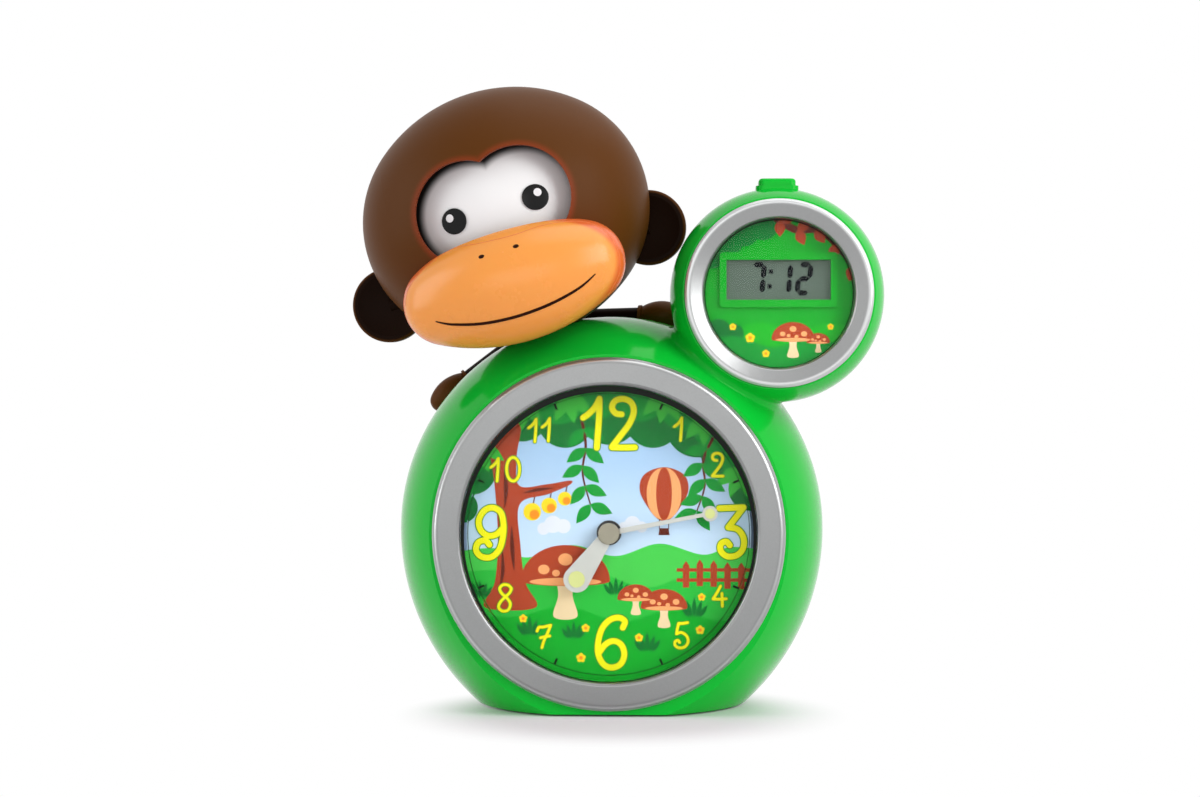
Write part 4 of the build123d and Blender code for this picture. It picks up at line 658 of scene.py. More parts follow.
def stroke_outlines(path, cap=8):
    """Outlines that make up one brush stroke: a four-sided one for each step, and a round one at each end."""
    pairs = []
    for i, (x, z, half) in enumerate(path):
        before, after = path[max(i - 1, 0)], path[min(i + 1, len(path) - 1)]
        along = Vector((after[0] - before[0], after[1] - before[1])).normalized()
        side = Vector((-along.y, along.x)) * half
        pairs.append((Vector((x, z)) + side, Vector((x, z)) - side))
    steps = []
    for (left, right), (next_left, next_right) in zip(pairs, pairs[1:]):
        crossed = intersect_line_line_2d(left, next_left, right, next_right)
        corners = (left, right, next_left, next_right) if crossed else (left, right, next_right, next_left)
        steps.append([tuple(corner) for corner in corners])
    return steps + [circle(x, z, half, 2 * cap) for x, z, half in (path[0], path[-1])]


def surface_of(node):
    """Search tree over a solid's faces, for setting pieces on it."""
    mesh = node_objects[node].data
    return BVHTree.FromPolygons([v.co for v in mesh.vertices], [p.vertices for p in mesh.polygons])


def on_face(tree, x, z, lift=0.0):
    """Point of the head's front at x, z of its own frame in millimetres, and the way out there."""
    start = HEAD @ Vector((x * MM, -0.2, z * MM))
    way = (HEAD.to_3x3() @ Vector((0, 1, 0))).normalized()
    hit, normal, _, _ = tree.ray_cast(start, way)
    if normal.dot(way) > 0:
        normal = -normal
    return hit + normal * lift * MM, normal


def tube(name, points, radii, material, body, sides=12, up=(0, -1, 0)):
    """Round bar of changing radius along points, with flat ends."""
    shape = bmesh.new()
    rings = []
    turns = [2 * pi * k / sides for k in range(sides)]
    last = len(points) - 1
    for i, point in enumerate(points):
        along = (points[min(i + 1, last)] - points[max(i - 1, 0)]).normalized()
        side = along.cross(Vector(up)).normalized()
        over = side.cross(along).normalized()
        rings.append([
            shape.verts.new(point + (side * cos(turn) + over * sin(turn)) * radii[i])
            for turn in turns
        ])
    for a, b in zip(rings, rings[1:]):
        for k in range(sides):
            shape.faces.new((a[k], a[(k + 1) % sides], b[(k + 1) % sides], b[k]))
    shape.faces.new(rings[0])
    shape.faces.new(list(reversed(rings[-1])))
    return new_piece(name, shape, material, body, smooth=True)


# ---------------------------------------------------------------- dial print
INK_SHADE = 0.88


def ink_paint(name, colour):
    """Printing ink: nearly flat colour with a faint cloud and a sheen."""
    shade = tuple(part * INK_SHADE for part in colour)
    return moulded("ink_" + name, colour, shade, 0.34, 0.06, cloud=140.0, skin=4000.0, depth=0.000003)


INK_COLOURS = {
    "far_hill": (0.055, 0.500, 0.065),
    "mid_hill": (0.020, 0.420, 0.040),
    "meadow": (0.003, 0.345, 0.018),
    "pod_meadow": (0.008, 0.370, 0.014),
    "leaf": (0.005, 0.265, 0.028),
    "deep_leaf": (0.003, 0.150, 0.022),
    "bright_leaf": (0.040, 0.440, 0.040),
    "russet": (0.360, 0.048, 0.016),
    "dark_russet": (0.110, 0.018, 0.009),
    "peach": (0.800, 0.340, 0.130),
    "cream": (0.720, 0.560, 0.330),
    "white": (0.640, 0.680, 0.740),
    "sun": (0.850, 0.600, 0.015),
    "orange": (0.820, 0.250, 0.012),
    "numeral": (0.780, 0.740, 0.006),
    "numeral_edge": (0.050, 0.230, 0.015),
}
INK = {name: ink_paint(name, colour) for name, colour in INK_COLOURS.items()}

# brush strokes of each figure, in hundredths of its height: across from its middle, and up
DIGITS = {
    "0": [[(25 * cos(pi / 6 * k), 50 + 45 * sin(pi / 6 * k)) for k in range(13)]],
    "1": [[(-27, 60), (-16, 68), (-5, 80), (3, 95)], [(3, 95), (2, 60), (-2, 5)]],
    "2": [[(-2, 68), (-13, 70), (-20, 81), (-14, 93), (1, 97), (16, 90), (21, 73), (13, 51), (-3, 29),
           (-20, 7)], [(-20, 6), (2, 5.5), (23, 6)]],
    "3": [[(-25, 94), (0, 95), (21, 96)], [(21, 96), (6, 76), (-8, 58)], [(-8, 58), (10, 54), (21, 38),
           (20, 18), (8, 5), (-10, 3), (-22, 13), (-22, 26), (-12, 31), (-5, 24)]],
    "4": [[(6, 96), (-10, 66), (-28, 38)], [(-28, 37), (0, 36), (32, 38)], [(12, 62), (13, 35), (14, 4)]],
    "5": [[(-8, 93), (8, 93), (24, 96)], [(-8, 93), (-13, 74), (-16, 55)], [(-16, 55), (2, 60), (20, 48),
           (26, 28), (15, 9), (-5, 4), (-20, 12), (-22, 25), (-12, 32), (-5, 24)]],
    "6": [[(22, 78), (26, 90), (14, 97), (-3, 92), (-17, 76), (-24, 52), (-24, 28), (-14, 9), (2, 3),
           (18, 10), (25, 28), (19, 46), (5, 53), (-10, 47), (-21, 33)]],
    "7": [[(-30, 72), (-22, 87), (-6, 88), (10, 92), (26, 96)], [(26, 96), (12, 62), (-2, 32), (-10, 4)],
           [(-16, 44), (3, 49), (22, 52)]],
    "8": [[(24, 84), (12, 96), (-6, 97), (-18, 84), (-10, 66), (8, 50), (20, 30), (12, 8), (-8, 4),
           (-22, 18), (-14, 38), (2, 54), (18, 70), (24, 84)]],
    "9": [[(22, 56), (11, 46), (-4, 44), (-17, 54), (-21, 72), (-11, 90), (5, 96), (20, 87), (25, 66),
           (24, 42), (17, 18), (2, 4), (-16, 5), (-26, 17), (-22, 31), (-9, 35), (-1, 27)]],
}
# figure, centre x, foot z, height, half stroke: millimetres from the dial's centre
FIGURES = [
    ("1", -3.6, 26.2, 17.4, 0.95), ("2", 4.3, 26.2, 17.0, 0.95), ("3", 39.3, -8.0, 16.8, 0.95),
    ("6", 0.6, -43.6, 17.0, 0.95), ("9", -38.1, -8.6, 17.2, 0.95),
    ("1", 22.9, 29.0, 8.0, 0.46), ("2", 34.5, 17.6, 8.0, 0.46), ("4", 35.1, -23.7, 7.0, 0.46),
    ("5", 22.9, -37.1, 8.8, 0.46), ("7", -20.7, -37.1, 7.8, 0.46), ("8", -33.4, -25.5, 9.0, 0.46),
    ("1", -35.7, 16.0, 8.0, 0.46), ("0", -30.7, 16.0, 8.4, 0.46),
    ("1", -23.6, 28.6, 8.0, 0.46), ("1", -19.3, 28.8, 8.0, 0.46),
]
FIGURE_EDGE = 0.30


def figure_paths(grow):
    """Brush strokes of all the dial's figures, each made wider by grow at both sides."""
    paths = []
    for figure, x, foot, height, half in FIGURES:
        wide = half + grow * (0.6 + 0.4 * half)
        for stroke in DIGITS[figure]:
            points = [(x + across / 100 * height, foot + up / 100 * height, wide) for across, up in stroke]
            paths.append(smooth_open(points))
    return paths


# outlines at size 1: across and up
STEM = [(-0.16, 0), (0.16, 0), (0.10, 0.3), (0.12, 0.62), (-0.12, 0.62), (-0.10, 0.3)]
ENVELOPE = [(0, 1), (0.75, 0.72), (0.92, 0.1), (0.55, -0.62), (0.18, -1), (-0.18, -1), (-0.55, -0.62),
            (-0.92, 0.1), (-0.75, 0.72)]
BASKET = [(-0.21, -1.58), (0.21, -1.58), (0.17, -1.32), (-0.17, -1.32)]
# across, up and radius of a toadstool's spots
SPOTS = ((0.0, 0.80, 0.10), (-0.30, 0.66, 0.08), (0.32, 0.66, 0.09), (0.10, 0.58, 0.06), (-0.13, 0.61, 0.055))


def toadstool(x, z, size):
    """Outlines of a toadstool standing at x, z: stem, cap, under-edge and spots."""
    stem = smooth_closed(placed(STEM, x, z, size))
    half = 0.62 * size
    dome = [(x + half * cos(turn), z + size * (0.50 + 0.50 * sin(turn)))
            for turn in [pi * k / 20 for k in range(21)]]
    belly = [(x + half * cos(turn), z + size * (0.50 - 0.07 * sin(turn)))
             for turn in [pi * k / 12 for k in range(11, 0, -1)]]
    spots = [circle(x + across * size, z + up * size, radius * size, 20, 0.85)
             for across, up, radius in SPOTS]
    gills = circle(x, z + 0.49 * size, 0.50 * size, 30, 0.11)
    return stem, dome + belly, gills, spots


def toadstools(places):
    """Stems, caps, under-edges and spots of the toadstools at some (x, z, size)."""
    stems, caps, gills, spots = zip(*[toadstool(*place) for place in places])
    return stems, caps, gills, [spot for own in spots for spot in own]


PETALS = 5


def flower_beds(sheet, name, level, heart_level, places):
    """Flowers at some (x, z, size), each with a round heart."""
    petals = []
    for x, z, size in places:
        for turn in [2 * pi * k / PETALS + 0.3 for k in range(PETALS)]:
            petals.append(circle(x + 0.6 * size * cos(turn), z + 0.6 * size * sin(turn), 0.45 * size, 14))
    sheet.ink(name + "_flowers", level, petals, INK["sun"])
    hearts = [circle(x, z, 0.4 * size, 14) for x, z, size in places]
    sheet.ink(name + "_flower_hearts", heart_level, hearts, INK["orange"])


FENCE_PITCH = 4.4


def fence(x_from, x_to, foot, picket_height):
    """Outlines of a picket fence between two places."""
    outlines = []
    for k in range(int((x_to - x_from) / FENCE_PITCH) + 1):
        x = x_from + k * FENCE_PITCH
        lift = foot + 0.5 * sin(1.3 * k)
        outlines.append([(x - 1.0, lift), (x + 1.0, lift), (x + 1.1, lift + picket_height - 1.6),
                         (x, lift + picket_height), (x - 1.0, lift + picket_height - 1.5)])
    for share in (0.28, 0.66):
        z = foot + picket_height * share
        outlines.append([(x_from - 3, z - 0.55), (x_to + 3, z - 0.45), (x_to + 3, z + 0.65),
                         (x_from - 3, z + 0.55)])
    return outlines


ROPE_HALF = 0.12
STRIPE_REACH = 0.94
# how far a stripe's outer and inner edge stand from the balloon's middle, at size 1
STRIPE_OUT = 0.66
STRIPE_IN = 0.30


def balloon(x, z, size):
    """Outlines of a hot-air balloon: envelope, stripes and basket, and the strokes of its ropes."""
    turns = [pi * (k / 16 - 0.5) * STRIPE_REACH for k in range(17)]

    def stripe_edge(share, angles):
        """Edge of a stripe, at a share of the envelope's size from its middle."""
        return [(x + share * size * cos(angle) ** 0.9, z + (0.98 if angle > 0 else 1.0) * size * sin(angle))
                for angle in angles]

    stripes = [stripe_edge(side * STRIPE_OUT, turns) + stripe_edge(side * STRIPE_IN, turns[::-1])
               for side in (-1, 1)]
    ropes = [[(x + side * 0.17 * size, z - 0.95 * size, ROPE_HALF),
              (x + side * 0.18 * size, z - 1.35 * size, ROPE_HALF)] for side in (-1, 1)]
    return smooth_closed(placed(ENVELOPE, x, z, size)), stripes, placed(BASKET, x, z, size), ropes


LEAF_SPREAD = 52


def twig(points, leaf_length, leaf_width):
    """A drooping twig: its stroke, and pairs of oval leaves along it."""
    line = smooth_open(points)
    leaves = []
    for i in range(4, len(line), 5):
        (x0, z0, _), (x1, z1, _) = line[i - 1], line[i]
        heading = atan2(z1 - z0, x1 - x0) * 180 / pi
        for side in (-1, 1):
            leaves.append(leaf(x1, z1, leaf_length, leaf_width, heading + side * LEAF_SPREAD))
    return line, leaves


def scallops(spots):
    """Rounds that run into each other, as in a cloud or the leaves of a tree."""
    return [circle(x, z, r, 30) for x, z, r in spots]


BLADES = 5


def grass(x, z, size):
    """Tuft of pointed blades fanned out from one foot."""
    middle = BLADES // 2
    return [leaf(x + (k - BLADES / 2) * 0.12 * size, z, size * (1.0 - 0.12 * abs(k - middle)), 0.22 * size,
                 90 + (middle - k) * 17) for k in range(BLADES)]


DIAL_PRINT_R = 48.5


def dial_print():
    """Meadow scene with a leafy top, and the hour figures over it."""
    face_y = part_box("dial_plate")[0].y
    sheet = Print((0.0, middle_of("dial_plate")[1]), face_y, DIAL_PRINT_R, "casing", "printed_dial")
    sheet.ink("dial_clouds", 1, scallops([(-21, 1.2, 2.0), (-18, 2.6, 2.8), (-14.6, 2.0, 2.3),
                                          (4.6, 1.6, 1.8), (7.4, 2.8, 2.5), (10.4, 1.8, 1.8)]), INK["white"])
    far = [(-60, -8), (-38, -5), (-26, -8), (-12, -4), (2, -7.5), (16, -3.5), (30, -7), (40, -4.5), (60, -7)]
    sheet.ink("dial_far_hills", 1.6, [ground(far)], INK["far_hill"])
    mid = [(-60, -14), (-34, -12), (-20, -16.5), (-4, -13), (12, -17.5), (28, -12.5), (40, -15), (60, -13)]
    sheet.ink("dial_mid_hills", 2.2, [ground(mid)], INK["mid_hill"])
    near = [(-60, -25), (-32, -27), (-14, -23.5), (4, -28.5), (20, -24.5), (36, -28), (60, -25)]
    sheet.ink("dial_meadow", 2.8, [ground(near)], INK["meadow"])
    sheet.ink("dial_fence", 3.4, fence(24.5, 46.5, -17.5, 8.5), INK["russet"])
    trunk = smooth_closed([(-39.5, -24), (-36.6, -16), (-35.6, -4), (-36.2, 10), (-38, 24), (-42, 36),
                           (-29, 36), (-29.6, 24), (-28.8, 15), (-20, 15.4), (-12.5, 16.6), (-12.7, 15.2),
                           (-19.6, 12.2), (-28.6, 9), (-28.4, -4), (-26.8, -16), (-23.5, -24)])
    sheet.ink("dial_trunk", 3.0, [trunk], INK["russet"])
    bark = [[(-33.5, 20, 0.15), (-33.0, 14, 0.75), (-33.4, 8, 0.15)],
            [(-31.2, 2, 0.15), (-31.0, -5, 0.70), (-30.4, -12, 0.15)],
            [(-34.2, -6, 0.15), (-34.0, -12, 0.60), (-34.9, -18, 0.15)],
            [(-27.5, 12.6, 0.15), (-23, 13.6, 0.55), (-18, 14.2, 0.15)]]
    sheet.strokes("dial_bark", 3.6, [smooth_open(mark) for mark in bark], INK["dark_russet"])
    fruits = ((-24.6, 6.6, 2.8), (-19.2, 8.6, 2.5), (-14.2, 10.8, 2.2))
    stalks = [[(x + 0.2, z + 0.7 * r, 0.16), (x + 0.9, z + r + 2.6, 0.22)] for x, z, r in fruits]
    sheet.strokes("dial_fruit_stalks", 2.6, stalks, INK["dark_russet"])
    sheet.ink("dial_fruits", 3.8, [circle(x, z, r) for x, z, r in fruits], INK["sun"])
    shades = [circle(x + 0.25 * r, z - 0.3 * r, 0.55 * r) for x, z, r in fruits]
    sheet.ink("dial_fruit_shades", 4.4, shades, INK["orange"])
    envelope, stripes, basket, ropes = balloon(17.5, 12.5, 8.4)
    sheet.ink("dial_balloon", 3.4, [envelope], INK["russet"])
    sheet.ink("dial_balloon_stripes", 4.0, stripes, INK["peach"])
    sheet.ink("dial_balloon_basket", 3.6, [basket], INK["dark_russet"])
    sheet.strokes("dial_balloon_ropes", 3.5, ropes, INK["dark_russet"])
    stems, caps, gills, spots = toadstools([(-14.0, -27.0, 23.0), (8.5, -26.0, 9.5), (17.5, -30.0, 12.0)])
    sheet.ink("dial_toadstool_stems", 4.0, stems, INK["cream"])
    sheet.ink("dial_toadstool_caps", 4.6, caps, INK["russet"])
    sheet.ink("dial_toadstool_gills", 5.2, gills, INK["peach"])
    sheet.ink("dial_toadstool_spots", 5.2, spots, INK["peach"])
    tufts = []
    for x, z, size in ((-25, -33, 6.5), (2.5, -20, 6.0), (27.5, -27, 6.5), (-11, -34, 6.0), (12.5, -38, 6.5),
                       (-41, -21, 6.0)):
        tufts += grass(x, z, size)
    sheet.ink("dial_grass", 3.8, tufts, INK["deep_leaf"])
    sheet.ink("dial_canopy_back", 2.2, scallops([
        (-44, 20, 8), (-38, 31, 9), (-28, 38, 9), (-14, 36, 9), (0, 38, 10), (14, 36, 9), (28, 34, 10),
        (38, 26, 9), (45, 14, 7), (-20, 46, 10), (8, 47, 9), (24, 45, 10), (36, 38, 9), (-34, 42, 9),
        (46, 24, 8), (-47, 8, 5),
    ]), INK["deep_leaf"])
    sheet.ink("dial_canopy", 2.8, scallops([
        (-46, 25, 8), (-40, 36, 9), (-30, 44, 9), (-16, 43, 8.5), (-4, 44, 8), (10, 44, 8.5), (24, 41, 8.5),
        (35, 35, 9), (43, 24, 7.5), (47, 15, 5), (30, 46, 8), (-24, 49, 9), (3, 50, 10), (-47, 14, 4.5),
    ]), INK["leaf"])
    sprigs = []
    for x, z, turn in ((-42, 29, -70), (-27, 43, -95), (-13, 45, -80), (18, 45, -100), (31, 38, -95),
                       (42, 21, -110)):
        for side in (-34, 0, 34):
            sprigs.append(leaf(x, z, 10.5, 4.0, turn + side))
    sheet.ink("dial_canopy_leaves", 3.4, sprigs, INK["bright_leaf"])
    twigs, leaves = [], []
    for points in (
        [(-9, 37, 0.5), (-7.5, 28, 0.4), (-8.5, 19, 0.3), (-6, 9, 0.2)],
        [(33, 30, 0.5), (30, 23, 0.4), (30.5, 15, 0.3), (28, 7, 0.2)],
    ):
        line, oval = twig(points, 7.6, 3.6)
        twigs.append(line)
        leaves += oval
    sheet.strokes("dial_twigs", 3.7, twigs, INK["dark_russet"])
    sheet.ink("dial_leaves", 4.0, leaves, INK["leaf"])
    flower_beds(sheet, "dial", 4.6, 5.2, [(29.0, -31.0, 1.4), (-9, -40, 1.5), (-7.5, -30.5, 1.3),
                                          (29.5, -20.5, 1.2), (9.5, -33.5, 1.3), (-27.5, -27.5, 1.3)])
    sheet.strokes("dial_figure_edges", 6.0, figure_paths(FIGURE_EDGE), INK["numeral_edge"])
    sheet.strokes("dial_figures", 7.0, figure_paths(0.0), INK["numeral"])


# ---------------------------------------------------------------- lens rims, painted shade
RING_SIDES = 160
RING_T = 0.12
LUG_HALF = 0.35
LUG_LONG = 1.9
BEZEL_BORDER = 8.9
POD_BEZEL_BORDER = 6.2


def ring(name, node, outer, inner, drop, material, lugs=0):
    """Thin dark ring of painted shade on the front of a lens, thicker at the top, as painted shadow, by the drop
    of its inner edge.
    """
    sheet = Print(middle_of(node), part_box(node)[0].y, outer, "casing", "black_nut")
    shape = bmesh.new()
    rows = []
    for outline in (circle(0, 0, outer, RING_SIDES), circle(0, -drop, inner, RING_SIDES)):
        rows.append([shape.verts.new(sheet.at(x, z, RING_T)) for x, z in outline])
    faces = []
    for k in range(RING_SIDES):
        after = (k + 1) % RING_SIDES
        faces.append(shape.faces.new((rows[0][k], rows[0][after], rows[1][after], rows[1][k])))
    for k in range(lugs):
        turn = 2 * pi * (k + 0.5) / lugs
        way = Vector((cos(turn), sin(turn)))
        side = Vector((-way.y, way.x)) * LUG_HALF
        foot, tip = way * inner, way * (inner - LUG_LONG)
        spots = [foot - side, foot + side, tip + side, tip - side]
        faces.append(shape.faces.new([shape.verts.new(sheet.at(x, z, RING_T)) for x, z in spots]))
    raise_from(shape, faces, RING_T * MM, (0, 1, 0))
    new_piece(name, shape, material, "casing")


def lens_rims():
    """Painted shade on each lens: a dark edge ring, and the dark line of the main lens's inner wall."""
    dark = moulded("lens_edge_shade", (0.004, 0.006, 0.004), (0.006, 0.009, 0.006), 0.25, sheen=0.1)
    hole = half_width("main_bezel") - BEZEL_BORDER
    # the main lens's edge ring is thicker at the top as the bezel's painted shadow
    ring("main_lens_edge", "main_lens", hole - 0.10, hole - 1.20, 0.8, dark)
    ring("main_lens_wall_shade", "main_lens", hole - 2.35, hole - 2.55, 0.0, dark, lugs=8)
    hole = half_width("pod_bezel") - POD_BEZEL_BORDER
    ring("pod_lens_edge", "pod_lens", hole - 0.10, hole - 0.42, 0.1, dark)


# ---------------------------------------------------------------- pod print and display
POD_PLATE_T = 0.8
POD_PRINT_R = 25.8


def pod_print():
    """Leafy scene round the display."""
    face_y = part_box("pod_face_plate")[1].y - POD_PLATE_T * MM
    sheet = Print(middle_of("pod_face_plate"), face_y, POD_PRINT_R, "casing", "printed_pod_face")
    back = [(-30, -9), (-16, -11.5), (-6, -9), (6, -12), (16, -9.5), (30, -12)]
    sheet.ink("pod_meadow", 1, [ground(back)], INK["pod_meadow"])
    front = [(-30, -15), (-14, -13.5), (-2, -17), (10, -14.5), (30, -18)]
    sheet.ink("pod_meadow_front", 2.2, [ground(front)], INK["leaf"])
    bushes = [(-16, 17, 5), (-11, 20, 5), (-5, 22, 5), (-21, 12, 4), (-19, -12, 4), (-14, -12.5, 3)]
    sheet.ink("pod_bushes", 1.6, scallops(bushes), INK["deep_leaf"])
    stems, caps, gills, spots = toadstools([(4.6, -20.0, 11.0), (12.6, -18.5, 6.0)])
    sheet.ink("pod_toadstool_stems", 2.8, stems, INK["cream"])
    sheet.ink("pod_toadstool_caps", 3.4, caps, INK["russet"])
    sheet.ink("pod_toadstool_spots", 4.0, [*gills, *spots], INK["peach"])
    line, leaves = twig([(-3, 26, 1.3), (5, 20.5, 1.2), (14, 19.5, 1.0), (23.5, 9, 0.8)], 5.2, 3.4)
    sheet.strokes("pod_twig", 2.2, [line], INK["dark_russet"])
    sheet.ink("pod_leaves", 2.8, leaves, INK["russet"])
    flower_beds(sheet, "pod", 3.4, 4.0, [(-9, -14, 1.5), (-14.5, -10.5, 1.1), (-4, -19, 1.2),
                                         (16.5, -10.5, 1.0)])


SEGMENTS = {"7": "abc", "1": "bc", "2": "abged"}
# figures of the display with their left edges
SHOWN = (("7", -9.3), ("1", -0.9), ("2", 5.5))
SEGMENT_WIDTH = 1.7
SEGMENT_GAP = 0.10
FIGURE_WIDTH = 5.3
FIGURE_HEIGHT = 10.7
FIGURE_SLANT = 0.09
FIGURE_LIFT = 0.4
DISPLAY_REACH = 40.0
DISPLAY_LAYER = 0.02
COLON_X = -2.6
COLON_HEIGHTS = (2.7, -2.0)
COLON_HALF = 0.68


def segment(kind, left, low):
    """Six-sided bar of one segment, in a figure whose lower left corner is given."""
    half, w, h, gap = SEGMENT_WIDTH / 2, FIGURE_WIDTH, FIGURE_HEIGHT, SEGMENT_GAP
    across = {"a": h - half, "g": h / 2, "d": half}
    upright = {"b": (w - half, h / 2, h - half), "c": (w - half, half, h / 2), "e": (half, half, h / 2)}
    if kind in across:
        z = across[kind]
        points = [(half + gap, z), (2 * half + gap, z + half), (w - 2 * half - gap, z + half),
                  (w - half - gap, z), (w - 2 * half - gap, z - half), (2 * half + gap, z - half)]
    else:
        x, z0, z1 = upright[kind]
        points = [(x, z0 + gap), (x + half, z0 + half + gap), (x + half, z1 - half - gap), (x, z1 - gap),
                  (x - half, z1 - half - gap), (x - half, z0 + half + gap)]
    return [(left + x + (z - h / 2) * FIGURE_SLANT, low + z) for x, z in points]


def display_figures():
    """Dark segments of the display, reading twelve past seven."""
    face_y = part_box("lcd_glass")[0].y
    sheet = Print(middle_of("lcd_glass"), face_y, DISPLAY_REACH, "casing", "display_glass", DISPLAY_LAYER)
    foot = -FIGURE_HEIGHT / 2 + FIGURE_LIFT
    outlines = []
    for figure, left in SHOWN:
        outlines += [segment(kind, left, foot) for kind in SEGMENTS[figure]]
    for z in COLON_HEIGHTS:
        x = COLON_X + z * FIGURE_SLANT
        outlines.append([(x - COLON_HALF, z - COLON_HALF), (x + COLON_HALF, z - COLON_HALF),
                         (x + COLON_HALF, z + COLON_HALF), (x - COLON_HALF, z + COLON_HALF)])
    dark = moulded("display_segments", (0.003, 0.004, 0.005), (0.004, 0.005, 0.006), 0.4, 0.03)
    sheet.ink("display_segments", 2, outlines, dark)


# ---------------------------------------------------------------- face
# millimetres in the head's own frame; the smile has its half width as well
SMILE = [(-25.5, -29.4, 0.20), (-20.5, -31.8, 0.42), (-11.0, -34.3, 0.50), (0.0, -35.2, 0.52),
         (11.0, -34.4, 0.50), (20.5, -32.2, 0.42), (26.5, -29.4, 0.20)]
PARTING = [(-34.2, -21.5), (-32.2, -17.2), (-27.5, -13.4), (-21.0, -10.6), (-14.6, -8.8), (-5.0, -10.0),
           (5.5, -10.6), (14.0, -10.1), (22.5, -10.9), (28.6, -13.1), (33.0, -17.7), (34.8, -23.8),
           (34.2, -28.6), (32.2, -32.2), (27.7, -36.4)]
PARTING_R = 0.16
NOSTRILS = ((-5.6, -14.4), (5.6, -14.4))
NOSTRIL_R = 0.95
CATCHLIGHT_R = 1.3
CATCHLIGHT_OUT = 1.1
CATCHLIGHT_UP = 1.3


def button_on(name, tree, x, z, radius, squash, height, material, body, turn=0.0):
    """Low oval bead set on a surface, squash times as tall as it is wide, turned by an angle in degrees."""
    spot, normal = on_face(tree, x, z)
    across = normal.cross(Vector((0, 0, 1))).normalized()
    high = across.cross(normal).normalized()
    c, s = cos(radians(turn)), sin(radians(turn))
    across, high = across * c + high * s, high * c - across * s
    shape = bmesh.new()
    bmesh.ops.create_uvsphere(shape, u_segments=28, v_segments=14, radius=1.0)
    for vertex in shape.verts:
        place = vertex.co
        vertex.co = spot + (across * place.x * radius + high * place.y * radius * squash
                            + normal * place.z * height) * MM
    new_piece(name, shape, material, body, smooth=True)


def face():
    """Smile line and nostrils on the muzzle, and a catchlight in each pupil."""
    line = moulded("mouth_line", (0.018, 0.004, 0.002), (0.026, 0.006, 0.003), 0.5, sheen=0.05)
    muzzle = surface_of("muzzle")
    path = smooth_open(SMILE, 10)
    spots = [on_face(muzzle, x, z)[0] for x, z, _ in path]
    tube("smile_line", spots, [half * MM for _, _, half in path], line, "casing")
    groove = moulded("muzzle_parting", (0.80, 0.19, 0.035), (0.72, 0.16, 0.030), 0.5)
    spots = [on_face(muzzle, x, z, -0.4 * PARTING_R)[0] for x, z in smooth_open(PARTING, 6)]
    tube("muzzle_parting_line", spots, [PARTING_R * MM] * len(spots), groove, "casing")
    for side, (x, z) in zip(("left", "right"), NOSTRILS):
        button_on(f"{side}_nostril", muzzle, x, z, NOSTRIL_R, 0.75, 0.12, line, "casing", -14.0)
    glint = moulded("catchlight", (0.9, 0.9, 0.9), (0.85, 0.85, 0.85), 0.3)
    pupil = surface_of("pupils")
    for name, side in (("left_catchlight", -1), ("right_catchlight", 1)):
        x, z = pupil_centre(side)
        button_on(name, pupil, x + side * CATCHLIGHT_OUT, z + CATCHLIGHT_UP, CATCHLIGHT_R, 1.0, 0.08, glint,
                  "eye_roller")


def pupil_centre(side):
    """Middle of the left (-1) or right (1) pupil in the head's own frame, in millimetres."""
    into_head = HEAD.inverted()
    places = [into_head @ vertex.co for vertex in node_objects["pupils"].data.vertices]
    own = [place for place in places if place.x * side > 0]
    spans = [(min(place[k] for place in own), max(place[k] for place in own)) for k in (0, 2)]
    return [(low + high) / 2 / MM for low, high in spans]


# ---------------------------------------------------------------- spring under the pod's button
COIL_WIRE_R = 0.25
COIL_TURNS = 5
COIL_STEPS = 28


def snooze_coil():
    """Coil of wire in place of the solid spring under the pod's button."""
    low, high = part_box("snooze_spring")
    middle = (low + high) / 2
    wire = COIL_WIRE_R * MM
    reach = (high.x - low.x) / 2 - wire
    rise = high.z - low.z - 2 * wire
    points = []
    for i in range(COIL_TURNS * COIL_STEPS + 1):
        turn = 2 * pi * i / COIL_STEPS
        up = low.z + wire + rise * i / (COIL_TURNS * COIL_STEPS)
        points.append(Vector((middle.x + reach * cos(turn), middle.y + reach * sin(turn), up)))
    coil = tube("snooze_coil", points, [wire] * len(points), MATERIALS["contact_steel"], "casing",
                sides=10, up=(0, 0, 1))
    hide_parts("snooze_spring")
    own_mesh(coil)


dial_print()
lens_rims()
pod_print()
display_figures()
face()
snooze_coil()


# ---------------------------------------------------------------- studio
CAMERA_PLACE = (0.0187, -0.760, 0.1004)
CAMERA_AIM = (-0.0039, 0.0, 0.1004)
LENS_MM = 68.4
SENSOR_MM = 36.0


LAMP_AIM = (0.0, 0.0, 0.1)
# name, place, width, height and radiance
LAMPS = (
    ("left_softbox", (-0.72, -0.20, 0.24), 0.40, 0.8, 2.2),
    ("right_softbox", (0.60, -0.46, 0.42), 0.50, 0.6, 4.2),
    ("overhead_softbox", (0.20, 0.0, 0.84), 0.8, 0.7, 1.15),
    ("front_fill", (-0.1, -1.2, 0.25), 0.9, 0.5, 1.1),
)


def soft_light(name, place, width, height, radiance):
    """Rectangular soft light whose power follows from the radiance it should show."""
    lamp = bpy.data.lights.new(name, "AREA")
    lamp.shape = "RECTANGLE"
    lamp.size = width
    lamp.size_y = height
    lamp.energy = radiance * pi * width * height
    holder = bpy.data.objects.new(name, lamp)
    bpy.context.scene.collection.objects.link(holder)
    holder.location = place
    holder.rotation_euler = (Vector(LAMP_AIM) - Vector(place)).to_track_quat("-Z", "Y").to_euler()


SURROUND_LIGHT = 0.33
FLOOR_HALF = 6.0
FLOOR_SHADE_PLACE = (0.004, -0.034, 0.0)
FLOOR_FADE = (0.036, 0.074)
FLOOR_LIFT = 0.01
PAPER = (0.86, 0.81, 0.86)


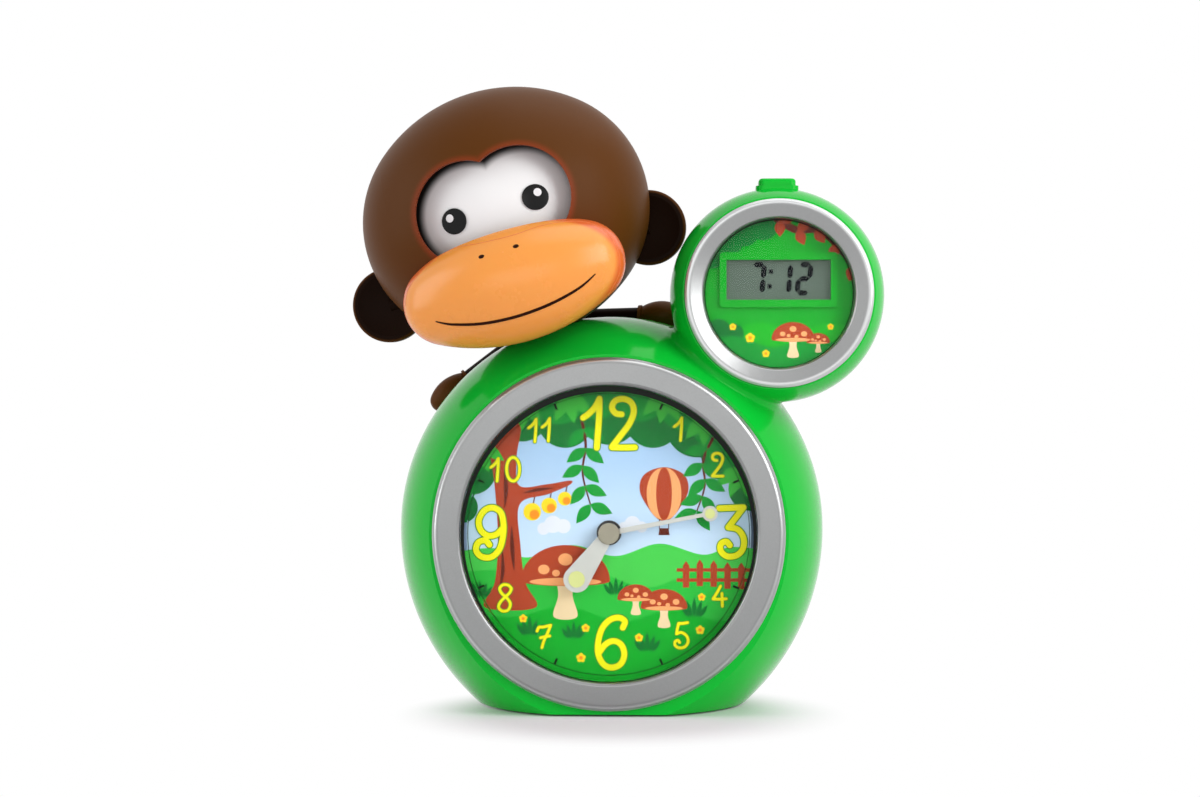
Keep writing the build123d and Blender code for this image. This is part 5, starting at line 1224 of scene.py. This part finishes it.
def background_seen(tree):
    """1 for the rays that show the surround as it looks, 0 for those that carry its light."""
    path = add(tree, "LightPath")
    mirrored = math_node(tree, "MAXIMUM", path.outputs["Is Glossy Ray"], path.outputs["Is Transmission Ray"])
    return math_node(tree, "MAXIMUM", path.outputs["Is Camera Ray"], mirrored)


def studio_world():
    """Even pale surround: pure white where it is seen, softer as light."""
    world = bpy.data.worlds.new("studio")
    bpy.context.scene.world = world
    world.use_nodes = True
    tree = world.node_tree
    tree.nodes.clear()
    seen = add(tree, "Background", Color=WHITE, Strength=1.0)
    light = add(tree, "Background", Color=WHITE, Strength=SURROUND_LIGHT)
    add(tree, "OutputWorld", Surface=two_shaders(tree, background_seen(tree), light, seen))


def floor():
    """White table top: it takes the object's shadow nearby and runs into the white surround further out."""
    mesh = bpy.data.meshes.new("floor")
    corners = [(x * FLOOR_HALF, y * FLOOR_HALF, 0) for x, y in ((-1, -1), (1, -1), (1, 1), (-1, 1))]
    mesh.from_pydata(corners, [], [(0, 1, 2, 3)])
    table = bpy.data.objects.new("floor", mesh)
    bpy.context.scene.collection.objects.link(table)
    material = bpy.data.materials.new("table_white")
    material.use_nodes = True
    tree = material.node_tree
    tree.nodes.clear()
    place = add(tree, "TexCoord").outputs["Object"]
    reach = vector_node(tree, "DISTANCE", place, FLOOR_SHADE_PLACE, "Value")
    far = ramped(tree, reach, *FLOOR_FADE)
    seen = background_seen(tree)
    paper = add(tree, "AddShader")
    matt = add(tree, "BsdfDiffuse", Color=rgba(PAPER))
    lift = add(tree, "Emission", Color=WHITE, Strength=math_node(tree, "MULTIPLY", seen, FLOOR_LIFT))
    tree.links.new(matt.outputs[0], paper.inputs[0])
    tree.links.new(lift.outputs[0], paper.inputs[1])
    white = add(tree, "Emission", Color=WHITE, Strength=1.0)
    both = two_shaders(tree, math_node(tree, "MULTIPLY", far, seen), paper, white)
    add(tree, "OutputMaterial", Surface=both)
    mesh.materials.append(material)


def camera():
    data = bpy.data.cameras.new("camera")
    data.lens = LENS_MM
    data.sensor_width = SENSOR_MM
    data.clip_start = 0.05
    data.clip_end = 20.0
    holder = bpy.data.objects.new("camera", data)
    bpy.context.scene.collection.objects.link(holder)
    holder.location = CAMERA_PLACE
    aim = Vector(CAMERA_AIM) - Vector(CAMERA_PLACE)
    holder.rotation_euler = aim.to_track_quat("-Z", "Y").to_euler()
    bpy.context.scene.camera = holder


def studio():
    bpy.context.scene.view_settings.view_transform = "Standard"
    studio_world()
    floor()
    camera()
    for lamp in LAMPS:
        soft_light(*lamp)


studio()
